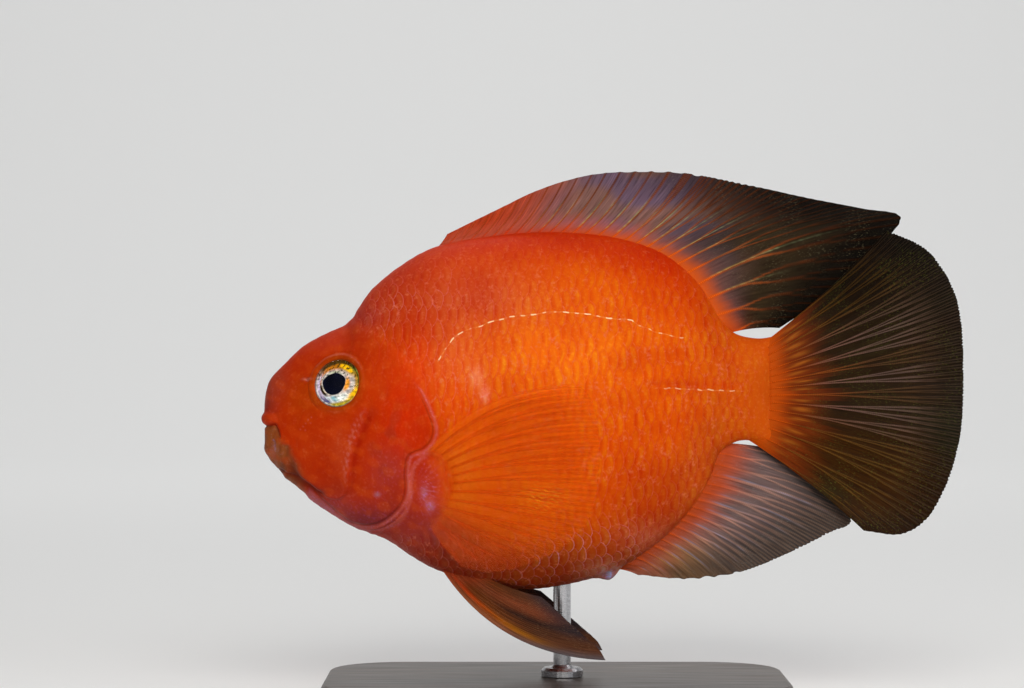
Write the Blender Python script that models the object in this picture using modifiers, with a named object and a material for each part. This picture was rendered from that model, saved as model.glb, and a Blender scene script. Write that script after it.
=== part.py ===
"""A blood parrot cichlid as a still, life-size display model on a plain stand.

Metres, +Z up. The fish heads towards -X, its left side faces -Y, and the stand's underside lies at z = 0.
The design works in millimetres: x from the front of the lips towards the tail, z from the body's axis.
"""
import math

import bmesh
import bpy
import numpy as np
from mathutils import Vector

MM = 0.001
TOTAL_LENGTH = 200.0
AXIS_HEIGHT = 87.0
GAP = 0.3

# The back and the belly, seen from the side, from the mouth to the root of the tail fin: (x, z)
BACK_LINE = (
    (0.7, -7.4), (1.0, 0.0), (2.4, 5.6), (6.2, 10.0), (11.6, 15.0), (18.6, 19.1), (24.4, 21.8),
    (27.6, 26.2), (31.8, 32.0), (39.2, 38.2), (49.8, 43.8), (67.0, 47.2), (85.0, 48.3), (102.0, 46.6),
    (115.0, 42.2), (124.2, 34.8), (129.6, 26.4), (134.2, 19.6), (141.5, 17.6), (147.0, 18.3),
    (151.0, 18.6),
)
BELLY_LINE = (
    (0.7, -7.4), (1.0, -12.0), (2.2, -16.4), (5.6, -20.4), (9.6, -24.2), (13.6, -28.2), (19.4, -32.4),
    (26.0, -36.0), (35.4, -39.8), (42.4, -44.2), (49.6, -48.2), (59.6, -51.6), (73.5, -54.0),
    (88.0, -52.4), (101.0, -48.4), (111.2, -42.2), (121.0, -33.2), (127.6, -23.4), (131.2, -14.6),
    (136.6, -11.6), (143.0, -12.2), (147.5, -13.4), (151.0, -13.8),
)
# Half the body's width and the height of its widest point, against the share of the way along the body
HALF_WIDTH = (
    (0.0, 0.0), (0.004, 2.0), (0.015, 4.0), (0.035, 6.0), (0.07, 8.8), (0.12, 12.0), (0.19, 16.4),
    (0.27, 20.2), (0.36, 23.0), (0.45, 24.2), (0.54, 23.4), (0.64, 20.4), (0.73, 15.6), (0.80, 11.2),
    (0.86, 8.2), (0.92, 6.6), (0.96, 4.6), (0.99, 2.4), (1.0, 1.6),
)
WIDEST_AT = ((0.0, 0.48), (0.15, 0.44), (0.5, 0.47), (0.85, 0.52), (1.0, 0.5))
BODY_RINGS = 40
BODY_SIDES = 32

EYE_AT = (22.5, 5.1)
EYE_RADIUS = 7.6
EYE_DEPTH = 4.6
EYE_SUNK = 2.6
NOSTRIL_AT = (12.4, 6.0)
NOSTRIL_RADIUS = 0.8

# Where the thin cuts run that part the body, seen from the side
MOUTH_LINE = (
    (-4.0, -5.6), (0.0, -7.4), (2.6, -9.4), (5.6, -12.2), (7.0, -15.6), (8.6, -20.0), (11.4, -25.6),
    (11.0, -34.0),
)
GILL_LINE = (
    (20.0, 34.0), (25.4, 22.4), (32.5, 17.6), (40.4, 12.2), (46.0, 3.4), (49.0, -6.6), (47.8, -12.0),
    (42.6, -15.8), (40.9, -20.2), (40.8, -26.0), (38.8, -31.0), (34.6, -35.2), (29.6, -38.4),
    (26.0, -46.0),
)
TAIL_LINE = ((134.8, 30.0), (134.6, 4.0), (135.0, -22.0))
GILL_COVER = (
    (28.8, -4.6), (33.2, 1.8), (39.0, 4.2), (44.4, 0.6), (48.5, -6.8), (47.3, -11.7), (42.2, -15.4),
    (40.4, -20.2), (40.3, -26.0), (38.4, -30.7), (34.2, -34.4), (27.6, -35.0), (20.6, -30.6),
    (15.8, -26.4), (20.4, -27.6), (24.0, -26.6), (25.0, -22.0), (24.8, -15.6), (26.2, -9.8),
)
GILL_PLATE = 2.2
GILL_RAISED = 0.7

LIP_RADIUS = 1.25
LIP_KNOB_AT = (2.0, -5.2)
LIP_KNOB = (2.0, 2.8, 2.1)
UPPER_LIP = ((1.2, -6.4), (3.0, -8.0), (5.4, -11.0))
LOWER_LIP = ((1.3, -9.4), (2.6, -11.0), (4.8, -13.2))

VENT_AT = (97.4, -50.2)
VENT_SIZE = (5.6, 2.2, 3.0)

# Fins: key rays as (share of the way across the fin, (x, z) of the root, (x, z) of the tip)
DORSAL_RAYS = (
    (0.0, (49.7, 43.7), (52.9, 47.4)), (0.12, (59.4, 45.7), (65.7, 53.7)),
    (0.25, (70.3, 47.4), (79.7, 60.3)), (0.38, (81.7, 48.3), (93.7, 64.3)),
    (0.5, (92.6, 48.3), (106.6, 65.3)), (0.6, (102.3, 46.6), (119.4, 65.0)),
    (0.7, (110.9, 44.0), (135.1, 62.3)), (0.78, (117.7, 40.6), (153.7, 58.3)),
    (0.84, (122.6, 37.1), (171.4, 54.9)), (0.88, (125.7, 33.7), (182.9, 52.3)),
    (0.92, (128.6, 29.4), (172.5, 40.0)), (0.96, (131.1, 24.3), (160.5, 29.0)),
    (1.0, (134.6, 18.9), (148.0, 20.6)),
)
ANAL_RAYS = (
    (0.0, (102.0, -48.9), (107.4, -50.0)), (0.2, (110.3, -43.1), (122.3, -51.2)),
    (0.4, (117.4, -36.9), (137.1, -49.0)), (0.6, (123.4, -30.6), (151.5, -43.4)),
    (0.75, (126.9, -24.9), (162.6, -38.0)), (0.85, (128.6, -20.3), (168.6, -34.6)),
    (0.93, (130.0, -16.0), (161.5, -25.5)), (1.0, (131.4, -12.6), (146.5, -14.2)),
)
CAUDAL_RAYS = (
    (0.0, (144.6, 17.7), (178.0, 48.4)), (0.12, (145.4, 14.3), (189.4, 42.9)),
    (0.25, (146.0, 10.3), (196.6, 32.3)), (0.37, (146.3, 6.9), (199.3, 21.4)),
    (0.48, (146.6, 4.0), (199.9, 10.9)), (0.58, (146.6, 1.1), (199.9, 0.6)),
    (0.7, (146.3, -2.6), (198.6, -11.4)), (0.82, (145.4, -6.9), (195.1, -24.0)),
    (0.91, (143.8, -10.3), (189.0, -34.4)), (0.96, (142.4, -12.2), (182.0, -38.2)),
    (1.0, (141.2, -13.2), (171.6, -37.2)),
)
PECTORAL_RAYS = (
    (0.0, (44.5, -17.6), (89.6, 5.0)), (0.1, (47.0, -17.2), (92.9, 1.6)),
    (0.2, (49.0, -18.2), (94.9, -3.6)), (0.35, (50.8, -20.6), (95.7, -11.9)),
    (0.5, (51.2, -23.4), (95.4, -21.0)), (0.62, (50.6, -25.9), (94.1, -29.8)),
    (0.72, (49.8, -27.8), (90.2, -36.7)), (0.8, (48.9, -29.3), (83.9, -41.6)),
    (0.88, (48.0, -30.6), (75.0, -45.5)), (0.94, (47.3, -31.6), (65.9, -47.4)),
    (1.0, (46.4, -32.4), (56.5, -45.8)),
)
PELVIC_RAYS = (
    (0.0, (49.1, -47.4), (97.7, -72.9)), (0.2, (50.9, -48.0), (96.0, -70.0)),
    (0.4, (52.6, -48.6), (92.0, -66.3)), (0.6, (54.3, -49.1), (87.1, -62.0)),
    (0.8, (55.7, -49.4), (83.1, -58.3)), (1.0, (57.1, -50.0), (79.7, -55.4)),
)
DORSAL_COUNT = 27
ANAL_COUNT = 18
CAUDAL_COUNT = 15
PECTORAL_COUNT = 13
PELVIC_COUNT = 8
# Half thicknesses: a ray at its root, the skin beside it, the tips, and what the flesh at the root adds
RAY_HALF = 0.6
SKIN_HALF = 0.3
TIP_HALF = 0.2
FLESH_HALF = 0.8
TAIL_FLESH_HALF = 1.6
# How the fins leave the middle plane: slight waves, the rear to the fish's right and the tail to its left
ROOT_SUNK = 3.0
REAR_SWAY = 2.8
TAIL_SWAY = -4.0
FIN_WAVE = 0.5
TAIL_WAVE = 0.7
# How far the paired fins stand off the body, from the root to the tip
PECTORAL_LIFT = 2.4
PECTORAL_SPREAD = 4.6
PECTORAL_CUP = 1.4
PELVIC_OFF = 3.6
PELVIC_SPREAD = 11.0
PELVIC_ROOT_SHIFT = (-0.5, 4.0)

BASE_LENGTH = 132.0
BASE_WIDTH = 86.0
BASE_THICKNESS = 8.0
BASE_CORNER = 22.0
BASE_EDGE = 1.2
BASE_CENTRE_X = 84.0
ROD_RADIUS = 2.5
ROD_COLLAR_RADIUS = 6.0
ROD_COLLAR_HEIGHT = 2.4
ROD_CHAMFER = 0.8
ROD_INTO_BELLY = 6.0
ROD_X = 85.7

CUTTER_HALF = 50.0


def material(name, colour, roughness, metallic=0.0):
    """A plain finish with one colour."""
    finish = bpy.data.materials.new(name)
    finish.use_nodes = True
    shader = finish.node_tree.nodes["Principled BSDF"]
    shader.inputs["Base Color"].default_value = (*colour, 1.0)
    shader.inputs["Roughness"].default_value = roughness
    shader.inputs["Metallic"].default_value = metallic
    return finish


class Line:
    """A smooth line through given points, read by the share of its length."""

    STEPS = 24

    def __init__(self, points):
        knots = np.asarray(points, float)
        gaps = np.maximum(np.linalg.norm(np.diff(knots, axis=0), axis=1), 1e-9) ** 0.5
        at = np.concatenate([[0.0], np.cumsum(gaps)])
        slopes = np.gradient(knots, at, axis=0)
        share = np.linspace(0.0, 1.0, self.STEPS, endpoint=False)[:, None]
        a = 2 * share**3 - 3 * share**2 + 1
        b = share**3 - 2 * share**2 + share
        c = -2 * share**3 + 3 * share**2
        d = share**3 - share**2
        pieces = [
            a * knots[i] + b * gaps[i] * slopes[i] + c * knots[i + 1] + d * gaps[i] * slopes[i + 1]
            for i in range(len(gaps))
        ]
        self.points = np.vstack([*pieces, knots[-1:]])
        length = np.concatenate([[0.0], np.cumsum(np.linalg.norm(np.diff(self.points, axis=0), axis=1))])
        self.shares = length / length[-1]

    def at(self, share):
        return np.stack([np.interp(share, self.shares, axis) for axis in self.points.T], axis=-1)


def level(pairs, share):
    """A value that changes smoothly along the body, from (share, value) pairs."""
    points = Line([(at * 100, value) for at, value in pairs]).points
    return np.interp(np.asarray(share) * 100, points[:, 0], points[:, 1])


def smooth_step(value):
    value = np.clip(value, 0.0, 1.0)
    return value * value * (3 - 2 * value)


def body_points(shares, angles):
    """The body's surface as an array [ring, angle, xyz].

    The angle runs from -90 degrees at the belly over the +Y side to 90 at the back.
    """
    back = Line(BACK_LINE).at(shares)
    belly = Line(BELLY_LINE).at(shares)
    width = level(HALF_WIDTH, shares)[:, None]
    widest = level(WIDEST_AT, shares)[:, None]
    sine = np.sin(angles)[None, :]
    fullness = np.where(sine > 0, 1.05, 0.9)
    across = width * np.abs(np.cos(angles))[None, :] ** fullness
    up = np.where(sine > 0, widest + (1 - widest) * sine, widest + widest * sine)[..., None]
    middle = belly[:, None, :] + (back - belly)[:, None, :] * up
    return np.stack([middle[..., 0], across * np.sign(np.cos(angles) + 1e-12), middle[..., 1]], axis=-1)


def in_place(points):
    """From the design's millimetres to the model's own frame in metres."""
    return (np.asarray(points, float) + (-TOTAL_LENGTH / 2, 0.0, AXIS_HEIGHT)) * MM


def new_object(name, points, faces, collection):
    mesh = bpy.data.meshes.new(name)
    mesh.from_pydata([tuple(p) for p in points], [], [tuple(int(i) for i in f) for f in faces])
    made = bpy.data.objects.new(name, mesh)
    collection.objects.link(made)
    work = bmesh.new()
    work.from_mesh(mesh)
    bmesh.ops.recalc_face_normals(work, faces=work.faces)
    work.to_mesh(mesh)
    work.free()
    return made


def bake(obj):
    """Replaces an object by its evaluated, welded mesh, with its transform applied."""
    bpy.context.view_layer.update()
    graph = bpy.context.evaluated_depsgraph_get()
    mesh = bpy.data.meshes.new_from_object(obj.evaluated_get(graph))
    mesh.transform(obj.matrix_world)
    made = bpy.data.objects.new(obj.name, mesh)
    for collection in obj.users_collection:
        collection.objects.link(made)
    name = obj.name
    bpy.data.objects.remove(obj)
    made.name = name
    work = bmesh.new()
    work.from_mesh(mesh)
    bmesh.ops.remove_doubles(work, verts=work.verts, dist=1e-7)
    work.to_mesh(mesh)
    work.free()
    return made


def combine(obj, operation, others, solver="EXACT"):
    """Joins, cuts or intersects obj with other closed meshes, and removes those."""
    for other in others:
        modifier = obj.modifiers.new(operation.lower(), "BOOLEAN")
        modifier.operation = operation
        modifier.solver = solver
        modifier.object = other
    made = bake(obj)
    for other in others:
        bpy.data.objects.remove(other)
    return made


def loose_bodies(obj):
    """The closed surfaces of an object, as lists of face indices, the largest box first."""
    work = bmesh.new()
    work.from_mesh(obj.data)
    seen = set()
    bodies = []
    for start in work.faces:
        if start.index in seen:
            continue
        seen.add(start.index)
        found = [start]
        for face in found:
            for edge in face.edges:
                for other in edge.link_faces:
                    if other.index not in seen:
                        seen.add(other.index)
                        found.append(other)
        corners = np.array([v.co for f in found for v in f.verts])
        size = np.prod(corners.max(axis=0) - corners.min(axis=0))
        bodies.append((size, corners.mean(axis=0), {f.index for f in found}))
    work.free()
    return sorted(bodies, key=lambda body: -body[0])


def keep_faces(obj, kept):
    work = bmesh.new()
    work.from_mesh(obj.data)
    dropped = [f for f in work.faces if f.index not in kept]
    bmesh.ops.delete(work, geom=dropped, context="FACES")
    work.to_mesh(obj.data)
    work.free()
    return obj


def keep_largest(obj):
    return keep_faces(obj, loose_bodies(obj)[0][2])


def body_solid(name, grow, collection):
    """The whole body as one closed mesh, with its skin moved outwards by grow."""
    shares = np.linspace(0.0, 1.0, BODY_RINGS + 1)[1:] ** 1.15
    half = BODY_SIDES // 2
    left = np.linspace(-math.pi / 2, math.pi / 2, half + 1)
    right = np.linspace(math.pi / 2, 3 * math.pi / 2, half + 1)[1:-1]
    rings = body_points(shares, np.concatenate([left, right]))
    tip = body_points(np.zeros(1), np.zeros(1))[0]
    points = np.vstack([tip, rings.reshape(-1, 3)])
    faces = []
    for side in range(BODY_SIDES):
        after = (side + 1) % BODY_SIDES
        faces.append((0, 1 + after, 1 + side))
        for ring in range(BODY_RINGS - 1):
            here = 1 + ring * BODY_SIDES
            there = here + BODY_SIDES
            faces.append((here + side, here + after, there + after, there + side))
    last = 1 + (BODY_RINGS - 1) * BODY_SIDES
    for side in range(half):
        lower, upper = last + side, last + side + 1
        across_upper = last + (BODY_SIDES - side - 1) % BODY_SIDES
        across_lower = last + (BODY_SIDES - side) % BODY_SIDES
        faces.append(tuple(dict.fromkeys((lower, upper, across_upper, across_lower))))
    made = new_object(name, in_place(points), faces, collection)
    if grow:
        made.data.update()
        moved = [v.co + v.normal * grow * MM for v in made.data.vertices]
        for vertex, place in zip(made.data.vertices, moved):
            vertex.co = place
    return made


def prism(name, outline, low, high, collection):
    """A closed outline in the side view, made solid from y = low to y = high."""
    curve = bpy.data.curves.new(name, "CURVE")
    curve.dimensions = "2D"
    curve.fill_mode = "BOTH"
    curve.extrude = (high - low) / 2 * MM
    spline = curve.splines.new("POLY")
    spline.points.add(len(outline) - 1)
    placed = in_place([(x, 0.0, z) for x, z in outline])
    for point, (x, _, z) in zip(spline.points, placed):
        point.co = (x, z, 0.0, 1.0)
    spline.use_cyclic_u = True
    made = bpy.data.objects.new(name, curve)
    made.location = (0.0, (low + high) / 2 * MM, 0.0)
    made.rotation_euler = (math.pi / 2, 0.0, 0.0)
    collection.objects.link(made)
    return bake(made)


def wall(name, points, thickness, collection, steps=40):
    """A thin cutter that follows a line in the side view, right through the body."""
    line = Line(points).at(np.linspace(0.0, 1.0, steps))
    along = np.gradient(line, axis=0)
    along /= np.linalg.norm(along, axis=1)[:, None]
    aside = np.stack([-along[:, 1], along[:, 0]], axis=1) * thickness / 2
    outline = np.vstack([line + aside, (line - aside)[::-1]])
    return prism(name, outline, -CUTTER_HALF, CUTTER_HALF, collection)


def closed_outline(points, offset, steps=72):
    """A smooth closed outline through points, moved outwards by offset."""
    ring = list(points) + [points[0]]
    wrapped = [points[-2], points[-1], *ring, points[1], points[2]]
    line = Line(wrapped)
    start = line.shares[2 * Line.STEPS]
    end = line.shares[(2 + len(points)) * Line.STEPS]
    outline = line.at(np.linspace(start, end, steps, endpoint=False))
    along = np.roll(outline, -1, axis=0) - np.roll(outline, 1, axis=0)
    along /= np.linalg.norm(along, axis=1)[:, None]
    normal = np.stack([along[:, 1], -along[:, 0]], axis=1)
    area = np.sum(outline[:, 0] * np.roll(outline[:, 1], -1) - outline[:, 1] * np.roll(outline[:, 0], -1))
    return outline + normal * offset * (1 if area > 0 else -1)


def on_skin(x, z, side):
    """The point of the body's skin at (x, z) in the side view, and its outward normal."""
    shares = np.linspace(0.002, 0.99, 600)
    angles = np.linspace(-1.5, 1.5, 300)
    surface = body_points(shares, angles)
    distance = (surface[..., 0] - x) ** 2 + (surface[..., 2] - z) ** 2
    i, j = np.unravel_index(np.argmin(distance), distance.shape)
    i = min(max(i, 1), len(shares) - 2)
    j = min(max(j, 1), len(angles) - 2)
    normal = np.cross(surface[i + 1, j] - surface[i - 1, j], surface[i, j + 1] - surface[i, j - 1])
    normal *= math.copysign(1.0, normal[1]) / np.linalg.norm(normal)
    flip = np.array([1.0, side, 1.0])
    return surface[i, j] * flip, normal * flip


def ellipsoid(name, centre, radii, direction, collection, segments=22, rings=11):
    """An ellipsoid whose third radius lies along direction."""
    bpy.ops.mesh.primitive_uv_sphere_add(segments=segments, ring_count=rings, radius=1.0)
    made = bpy.context.object
    made.name = name
    made.scale = [r * MM for r in radii]
    made.rotation_mode = "QUATERNION"
    made.rotation_quaternion = direction.to_track_quat("Z", "Y")
    made.location = in_place(centre)
    for other in made.users_collection:
        other.objects.unlink(made)
    collection.objects.link(made)
    return bake(made)


def tube(name, points, radius, collection, resolution=2):
    """A round bar with filled ends along points."""
    curve = bpy.data.curves.new(name, "CURVE")
    curve.dimensions = "3D"
    curve.bevel_depth = radius * MM
    curve.bevel_resolution = resolution
    curve.use_fill_caps = True
    spline = curve.splines.new("POLY")
    spline.points.add(len(points) - 1)
    for point, place in zip(spline.points, in_place(points)):
        point.co = (*place, 1.0)
    made = bpy.data.objects.new(name, curve)
    collection.objects.link(made)
    return bake(made)


class Fan:
    """The middle surface of a fin, read by the share across it and the share out along its rays."""

    def __init__(self, rays, bow, sunk=ROOT_SUNK, root_shift=(0.0, 0.0)):
        self.lines = []
        for end in (0, 1):
            self.lines.append(Line([(100 * share, *places[end]) for share, *places in rays]).points)
        self.bow = bow
        self.sunk = sunk
        self.root_shift = root_shift

    def ends(self, across):
        found = []
        for line in self.lines:
            axes = [np.interp(across * 100, line[:, 0], line[:, i]) for i in (1, 2)]
            found.append(np.stack(axes, axis=-1))
        root, tip = found
        along = (tip - root) / np.linalg.norm(tip - root, axis=-1)[..., None]
        return root - along * self.sunk + self.root_shift, tip

    def flat(self, across, out):
        """(x, z) of points on the fin, for arrays of across and out of one shape."""
        root, tip = self.ends(across)
        chord = tip - root
        aside = np.stack([-chord[..., 1], chord[..., 0]], axis=-1)
        bend = self.bow(across) * 4 * out * (1 - out)
        return root + chord * out[..., None] + aside * bend[..., None]


def fin_solid(name, place, rays, rows, halves, collection, branched=False, notch=0.03):
    """A closed fin round its middle surface, with its rays as ridges in its own skin.

    place gives points from shares across and out; halves gives half the thickness of a ray and of the
    fin's skin for a share out. Branched rays fork in two part of the way out.
    """
    per_ray = 4 if branched else 2
    count = per_ray * (rays - 1) + 1
    phase = np.arange(count) % per_ray
    across, out = np.meshgrid(np.linspace(0, 1, count), np.linspace(0, 1, rows + 1), indexing="ij")
    fork = smooth_step((out - 0.3) / 0.3) if branched else np.zeros_like(out)
    stem = (phase == 0)[:, None] * (1.0 - fork)
    branches = ((phase % 2) == 1)[:, None] * (0.5 + 0.5 * fork) if branched else 0.0
    ridge = np.maximum(stem, branches)
    out = out * (1 - notch * (1 - ridge[:, -1:]) * out**3)
    middle = place(across, out)
    ray_half, skin_half = halves(out)
    half = skin_half + (ray_half - skin_half) * ridge
    normal = np.cross(np.gradient(middle, axis=0), np.gradient(middle, axis=1))
    normal /= np.linalg.norm(normal, axis=-1)[..., None]
    sides = [middle + normal * half[..., None], middle - normal * half[..., None]]
    points = np.vstack([side.reshape(-1, 3) for side in sides])
    index = np.arange(count * (rows + 1)).reshape(count, rows + 1)
    far = index + index.size
    faces = []
    for i in range(count - 1):
        for j in range(rows):
            a, b, c, d = index[i, j], index[i + 1, j], index[i + 1, j + 1], index[i, j + 1]
            e, f, g, h = far[i, j], far[i + 1, j], far[i + 1, j + 1], far[i, j + 1]
            faces += [(a, b, c), (a, c, d), (e, g, f), (e, h, g)]
    edge = [*index[:, 0], *index[-1, 1:], *index[-2::-1, -1], *index[0, -2:0:-1]]
    for here, after in zip(edge, edge[1:] + edge[:1]):
        faces += [(here, here + index.size, after + index.size), (here, after + index.size, after)]
    return new_object(name, in_place(points), faces, collection)


def fin_halves(flesh):
    """Half thicknesses that fall from a fleshy root to thin rays and thinner skin."""

    def halves(out):
        fleshy = flesh * (1 - smooth_step(out / 0.2))
        skin = SKIN_HALF + (TIP_HALF - SKIN_HALF) * out
        return np.maximum(RAY_HALF + (TIP_HALF - RAY_HALF) * out, skin) + fleshy, skin + fleshy

    return halves


def median_place(fan, lateral):
    def place(across, out):
        flat = fan.flat(across, out)
        return np.stack([flat[..., 0], lateral(across, out), flat[..., 1]], axis=-1)

    return place


def rear_sway(start, rise):
    """A slight wave along a fin, and a lean to the fish's right from a share across the fin on."""

    def sway(across, out):
        wave = FIN_WAVE * np.sin(across * 9.0) * out**2
        return wave + REAR_SWAY * smooth_step((across - start) / rise) * out**1.5

    return sway


def dorsal_fin(collection):
    fan = Fan(DORSAL_RAYS, lambda across: -0.05 + 0.1 * smooth_step((across - 0.6) / 0.3))
    place = median_place(fan, rear_sway(0.7, 0.2))
    return fin_solid("dorsal_fin", place, DORSAL_COUNT, 6, fin_halves(FLESH_HALF), collection)


def anal_fin(collection):
    fan = Fan(ANAL_RAYS, lambda across: 0.07 - 0.04 * across)
    place = median_place(fan, rear_sway(0.35, 0.4))
    return fin_solid("anal_fin", place, ANAL_COUNT, 6, fin_halves(FLESH_HALF), collection)


def tail_fin(collection):
    def sway(across, out):
        return (TAIL_SWAY + TAIL_WAVE * np.sin(across * 5 * math.pi)) * out**2

    fan = Fan(CAUDAL_RAYS, lambda across: 0.05 * (across - 0.5))
    place = median_place(fan, sway)
    halves = fin_halves(TAIL_FLESH_HALF)
    return fin_solid("tail_fin", place, CAUDAL_COUNT, 7, halves, collection, branched=True, notch=0.012)


def pectoral_fin(name, side, collection):
    roots = [on_skin(*ray[1], 1)[0][1] for ray in PECTORAL_RAYS]
    shares = [ray[0] for ray in PECTORAL_RAYS]

    def lateral(across, out):
        skin = np.interp(across, shares, roots)
        leaving = ROOT_SUNK * (smooth_step(out / 0.1) - 1) + PECTORAL_LIFT * smooth_step(out / 0.16)
        cup = PECTORAL_CUP * np.sin(math.pi * across) * out**2
        return side * (skin + leaving + PECTORAL_SPREAD * out - cup)

    fan = Fan(PECTORAL_RAYS, lambda across: 0.13 * (1 - across) ** 1.5 - 0.03 * across, sunk=0.5)
    place = median_place(fan, lateral)
    return fin_solid(name, place, PECTORAL_COUNT, 7, fin_halves(FLESH_HALF), collection)


def pelvic_fin(name, side, collection):
    def lateral(across, out):
        spread = PELVIC_SPREAD * (1 - 0.45 * across) * out
        return side * (PELVIC_OFF + 1.2 * across + spread + 1.6 * np.sin(math.pi * out))

    fan = Fan(PELVIC_RAYS, lambda across: -0.14 + 0.1 * across, sunk=0.0, root_shift=PELVIC_ROOT_SHIFT)
    place = median_place(fan, lateral)
    return fin_solid(name, place, PELVIC_COUNT, 7, fin_halves(FLESH_HALF), collection)


def split_body(body, flesh, cutters):
    """Parts the body with thin cuts into the lower jaw, the head, the trunk and the tail's root."""
    cuts = [
        wall("mouth_cut", MOUTH_LINE, GAP, cutters),
        wall("gill_cut", GILL_LINE, GAP, cutters),
        wall("tail_cut", TAIL_LINE, GAP, cutters),
    ]
    body = combine(body, "DIFFERENCE", cuts, "MANIFOLD")
    bodies = sorted(loose_bodies(body)[:4], key=lambda found: found[1][0])
    named = {}
    for name, (_, _, faces) in zip(("lower_jaw", "head", "trunk", "tail_root"), bodies):
        piece = bpy.data.objects.new(name, body.data.copy())
        flesh.objects.link(piece)
        named[name] = keep_faces(piece, faces)
    bpy.data.objects.remove(body)
    return named


def gill_cover(name, side, grow_out, grow_in, offset, cutters):
    """One gill cover as a plate that follows the cheek, or with more room round it, the pocket for it."""
    low, high = sorted((side * GAP, side * CUTTER_HALF))
    outline = prism(name + "_outline", closed_outline(GILL_COVER, offset), low, high, cutters)
    plate = combine(body_solid(name, grow_out, cutters), "INTERSECT", [outline])
    core = body_solid(name + "_core", grow_in, cutters)
    plate = combine(plate, "DIFFERENCE", [core])
    return keep_largest(plate)


def eye(name, side, collection, grow=0.0):
    """An eyeball sunk in its socket, or with grow, the cutter of the socket."""
    place, normal = on_skin(*EYE_AT, side)
    radii = (EYE_RADIUS + grow, EYE_RADIUS + grow, EYE_DEPTH + grow)
    return ellipsoid(name, place - normal * EYE_SUNK, radii, Vector(normal), collection)


def nostril_pit(side, cutters):
    place, normal = on_skin(*NOSTRIL_AT, side)
    return ellipsoid("nostril", place, (NOSTRIL_RADIUS,) * 3, Vector(normal), cutters, 10, 6)


def lips(cutters):
    """The upper lip with its knob, and the lower lip, as bars laid on the skin along the mouth."""
    made = []
    for name, line in (("upper_lip", UPPER_LIP), ("lower_lip", LOWER_LIP)):
        corner = [on_skin(x, z, 1)[0] for x, z in Line(line).at(np.linspace(0.2, 1.0, 5))]
        front = np.array([line[0][0], 0.0, line[0][1]])
        flip = np.array([1.0, -1.0, 1.0])
        path = [*(p * flip for p in reversed(corner)), front, *corner]
        made.append(tube(name, path, LIP_RADIUS, cutters))
    knob_at = (LIP_KNOB_AT[0], 0.0, LIP_KNOB_AT[1])
    made.append(ellipsoid("lip_knob", knob_at, LIP_KNOB, Vector((0, 0, 1)), cutters, 16, 8))
    return made


def stand_base(collection):
    bpy.ops.mesh.primitive_cube_add(size=1.0)
    base = bpy.context.object
    base.name = "stand_base"
    base.dimensions = (BASE_LENGTH * MM, BASE_WIDTH * MM, BASE_THICKNESS * MM)
    middle = BASE_THICKNESS / 2 * MM
    base.location = ((BASE_CENTRE_X - TOTAL_LENGTH / 2) * MM, 0.0, middle)
    bpy.ops.object.transform_apply(location=True, rotation=True, scale=True)
    work = bmesh.new()
    work.from_mesh(base.data)
    upright = [e for e in work.edges if abs(e.verts[0].co.z - e.verts[1].co.z) > middle]
    bmesh.ops.bevel(work, geom=upright, offset=BASE_CORNER * MM, segments=8, profile=0.5, affect="EDGES")
    rim = [e for e in work.edges if all(v.co.z > middle for v in e.verts)]
    bmesh.ops.bevel(work, geom=rim, offset=BASE_EDGE * MM, segments=2, profile=0.5, affect="EDGES")
    work.to_mesh(base.data)
    work.free()
    for other in base.users_collection:
        other.objects.unlink(base)
    collection.objects.link(base)
    return base


def stand_rod(body, collection):
    """A turned rod with a collar at its foot, shaped at its top to the belly that it carries."""
    foot = BASE_THICKNESS + GAP
    shoulder = foot + ROD_COLLAR_HEIGHT
    top = AXIS_HEIGHT + min(z for _, z in BELLY_LINE) + ROD_INTO_BELLY
    profile = [
        (0.0, top), (ROD_RADIUS, top), (ROD_RADIUS, shoulder + ROD_CHAMFER),
        (ROD_RADIUS + ROD_CHAMFER, shoulder), (ROD_COLLAR_RADIUS - ROD_CHAMFER, shoulder),
        (ROD_COLLAR_RADIUS, shoulder - ROD_CHAMFER), (ROD_COLLAR_RADIUS, foot), (0.0, foot),
    ]
    mesh = bpy.data.meshes.new("stand_rod")
    edges = [(i, i + 1) for i in range(len(profile) - 1)]
    mesh.from_pydata([(r * MM, 0.0, z * MM) for r, z in profile], edges, [])
    rod = bpy.data.objects.new("stand_rod", mesh)
    rod.location = ((ROD_X - TOTAL_LENGTH / 2) * MM, 0.0, 0.0)
    collection.objects.link(rod)
    turn = rod.modifiers.new("turn", "SCREW")
    turn.steps = turn.render_steps = 24
    turn.use_merge_vertices = True
    turn.merge_threshold = 0.01 * MM
    rod = bake(rod)
    return keep_largest(combine(rod, "DIFFERENCE", [body]))


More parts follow.
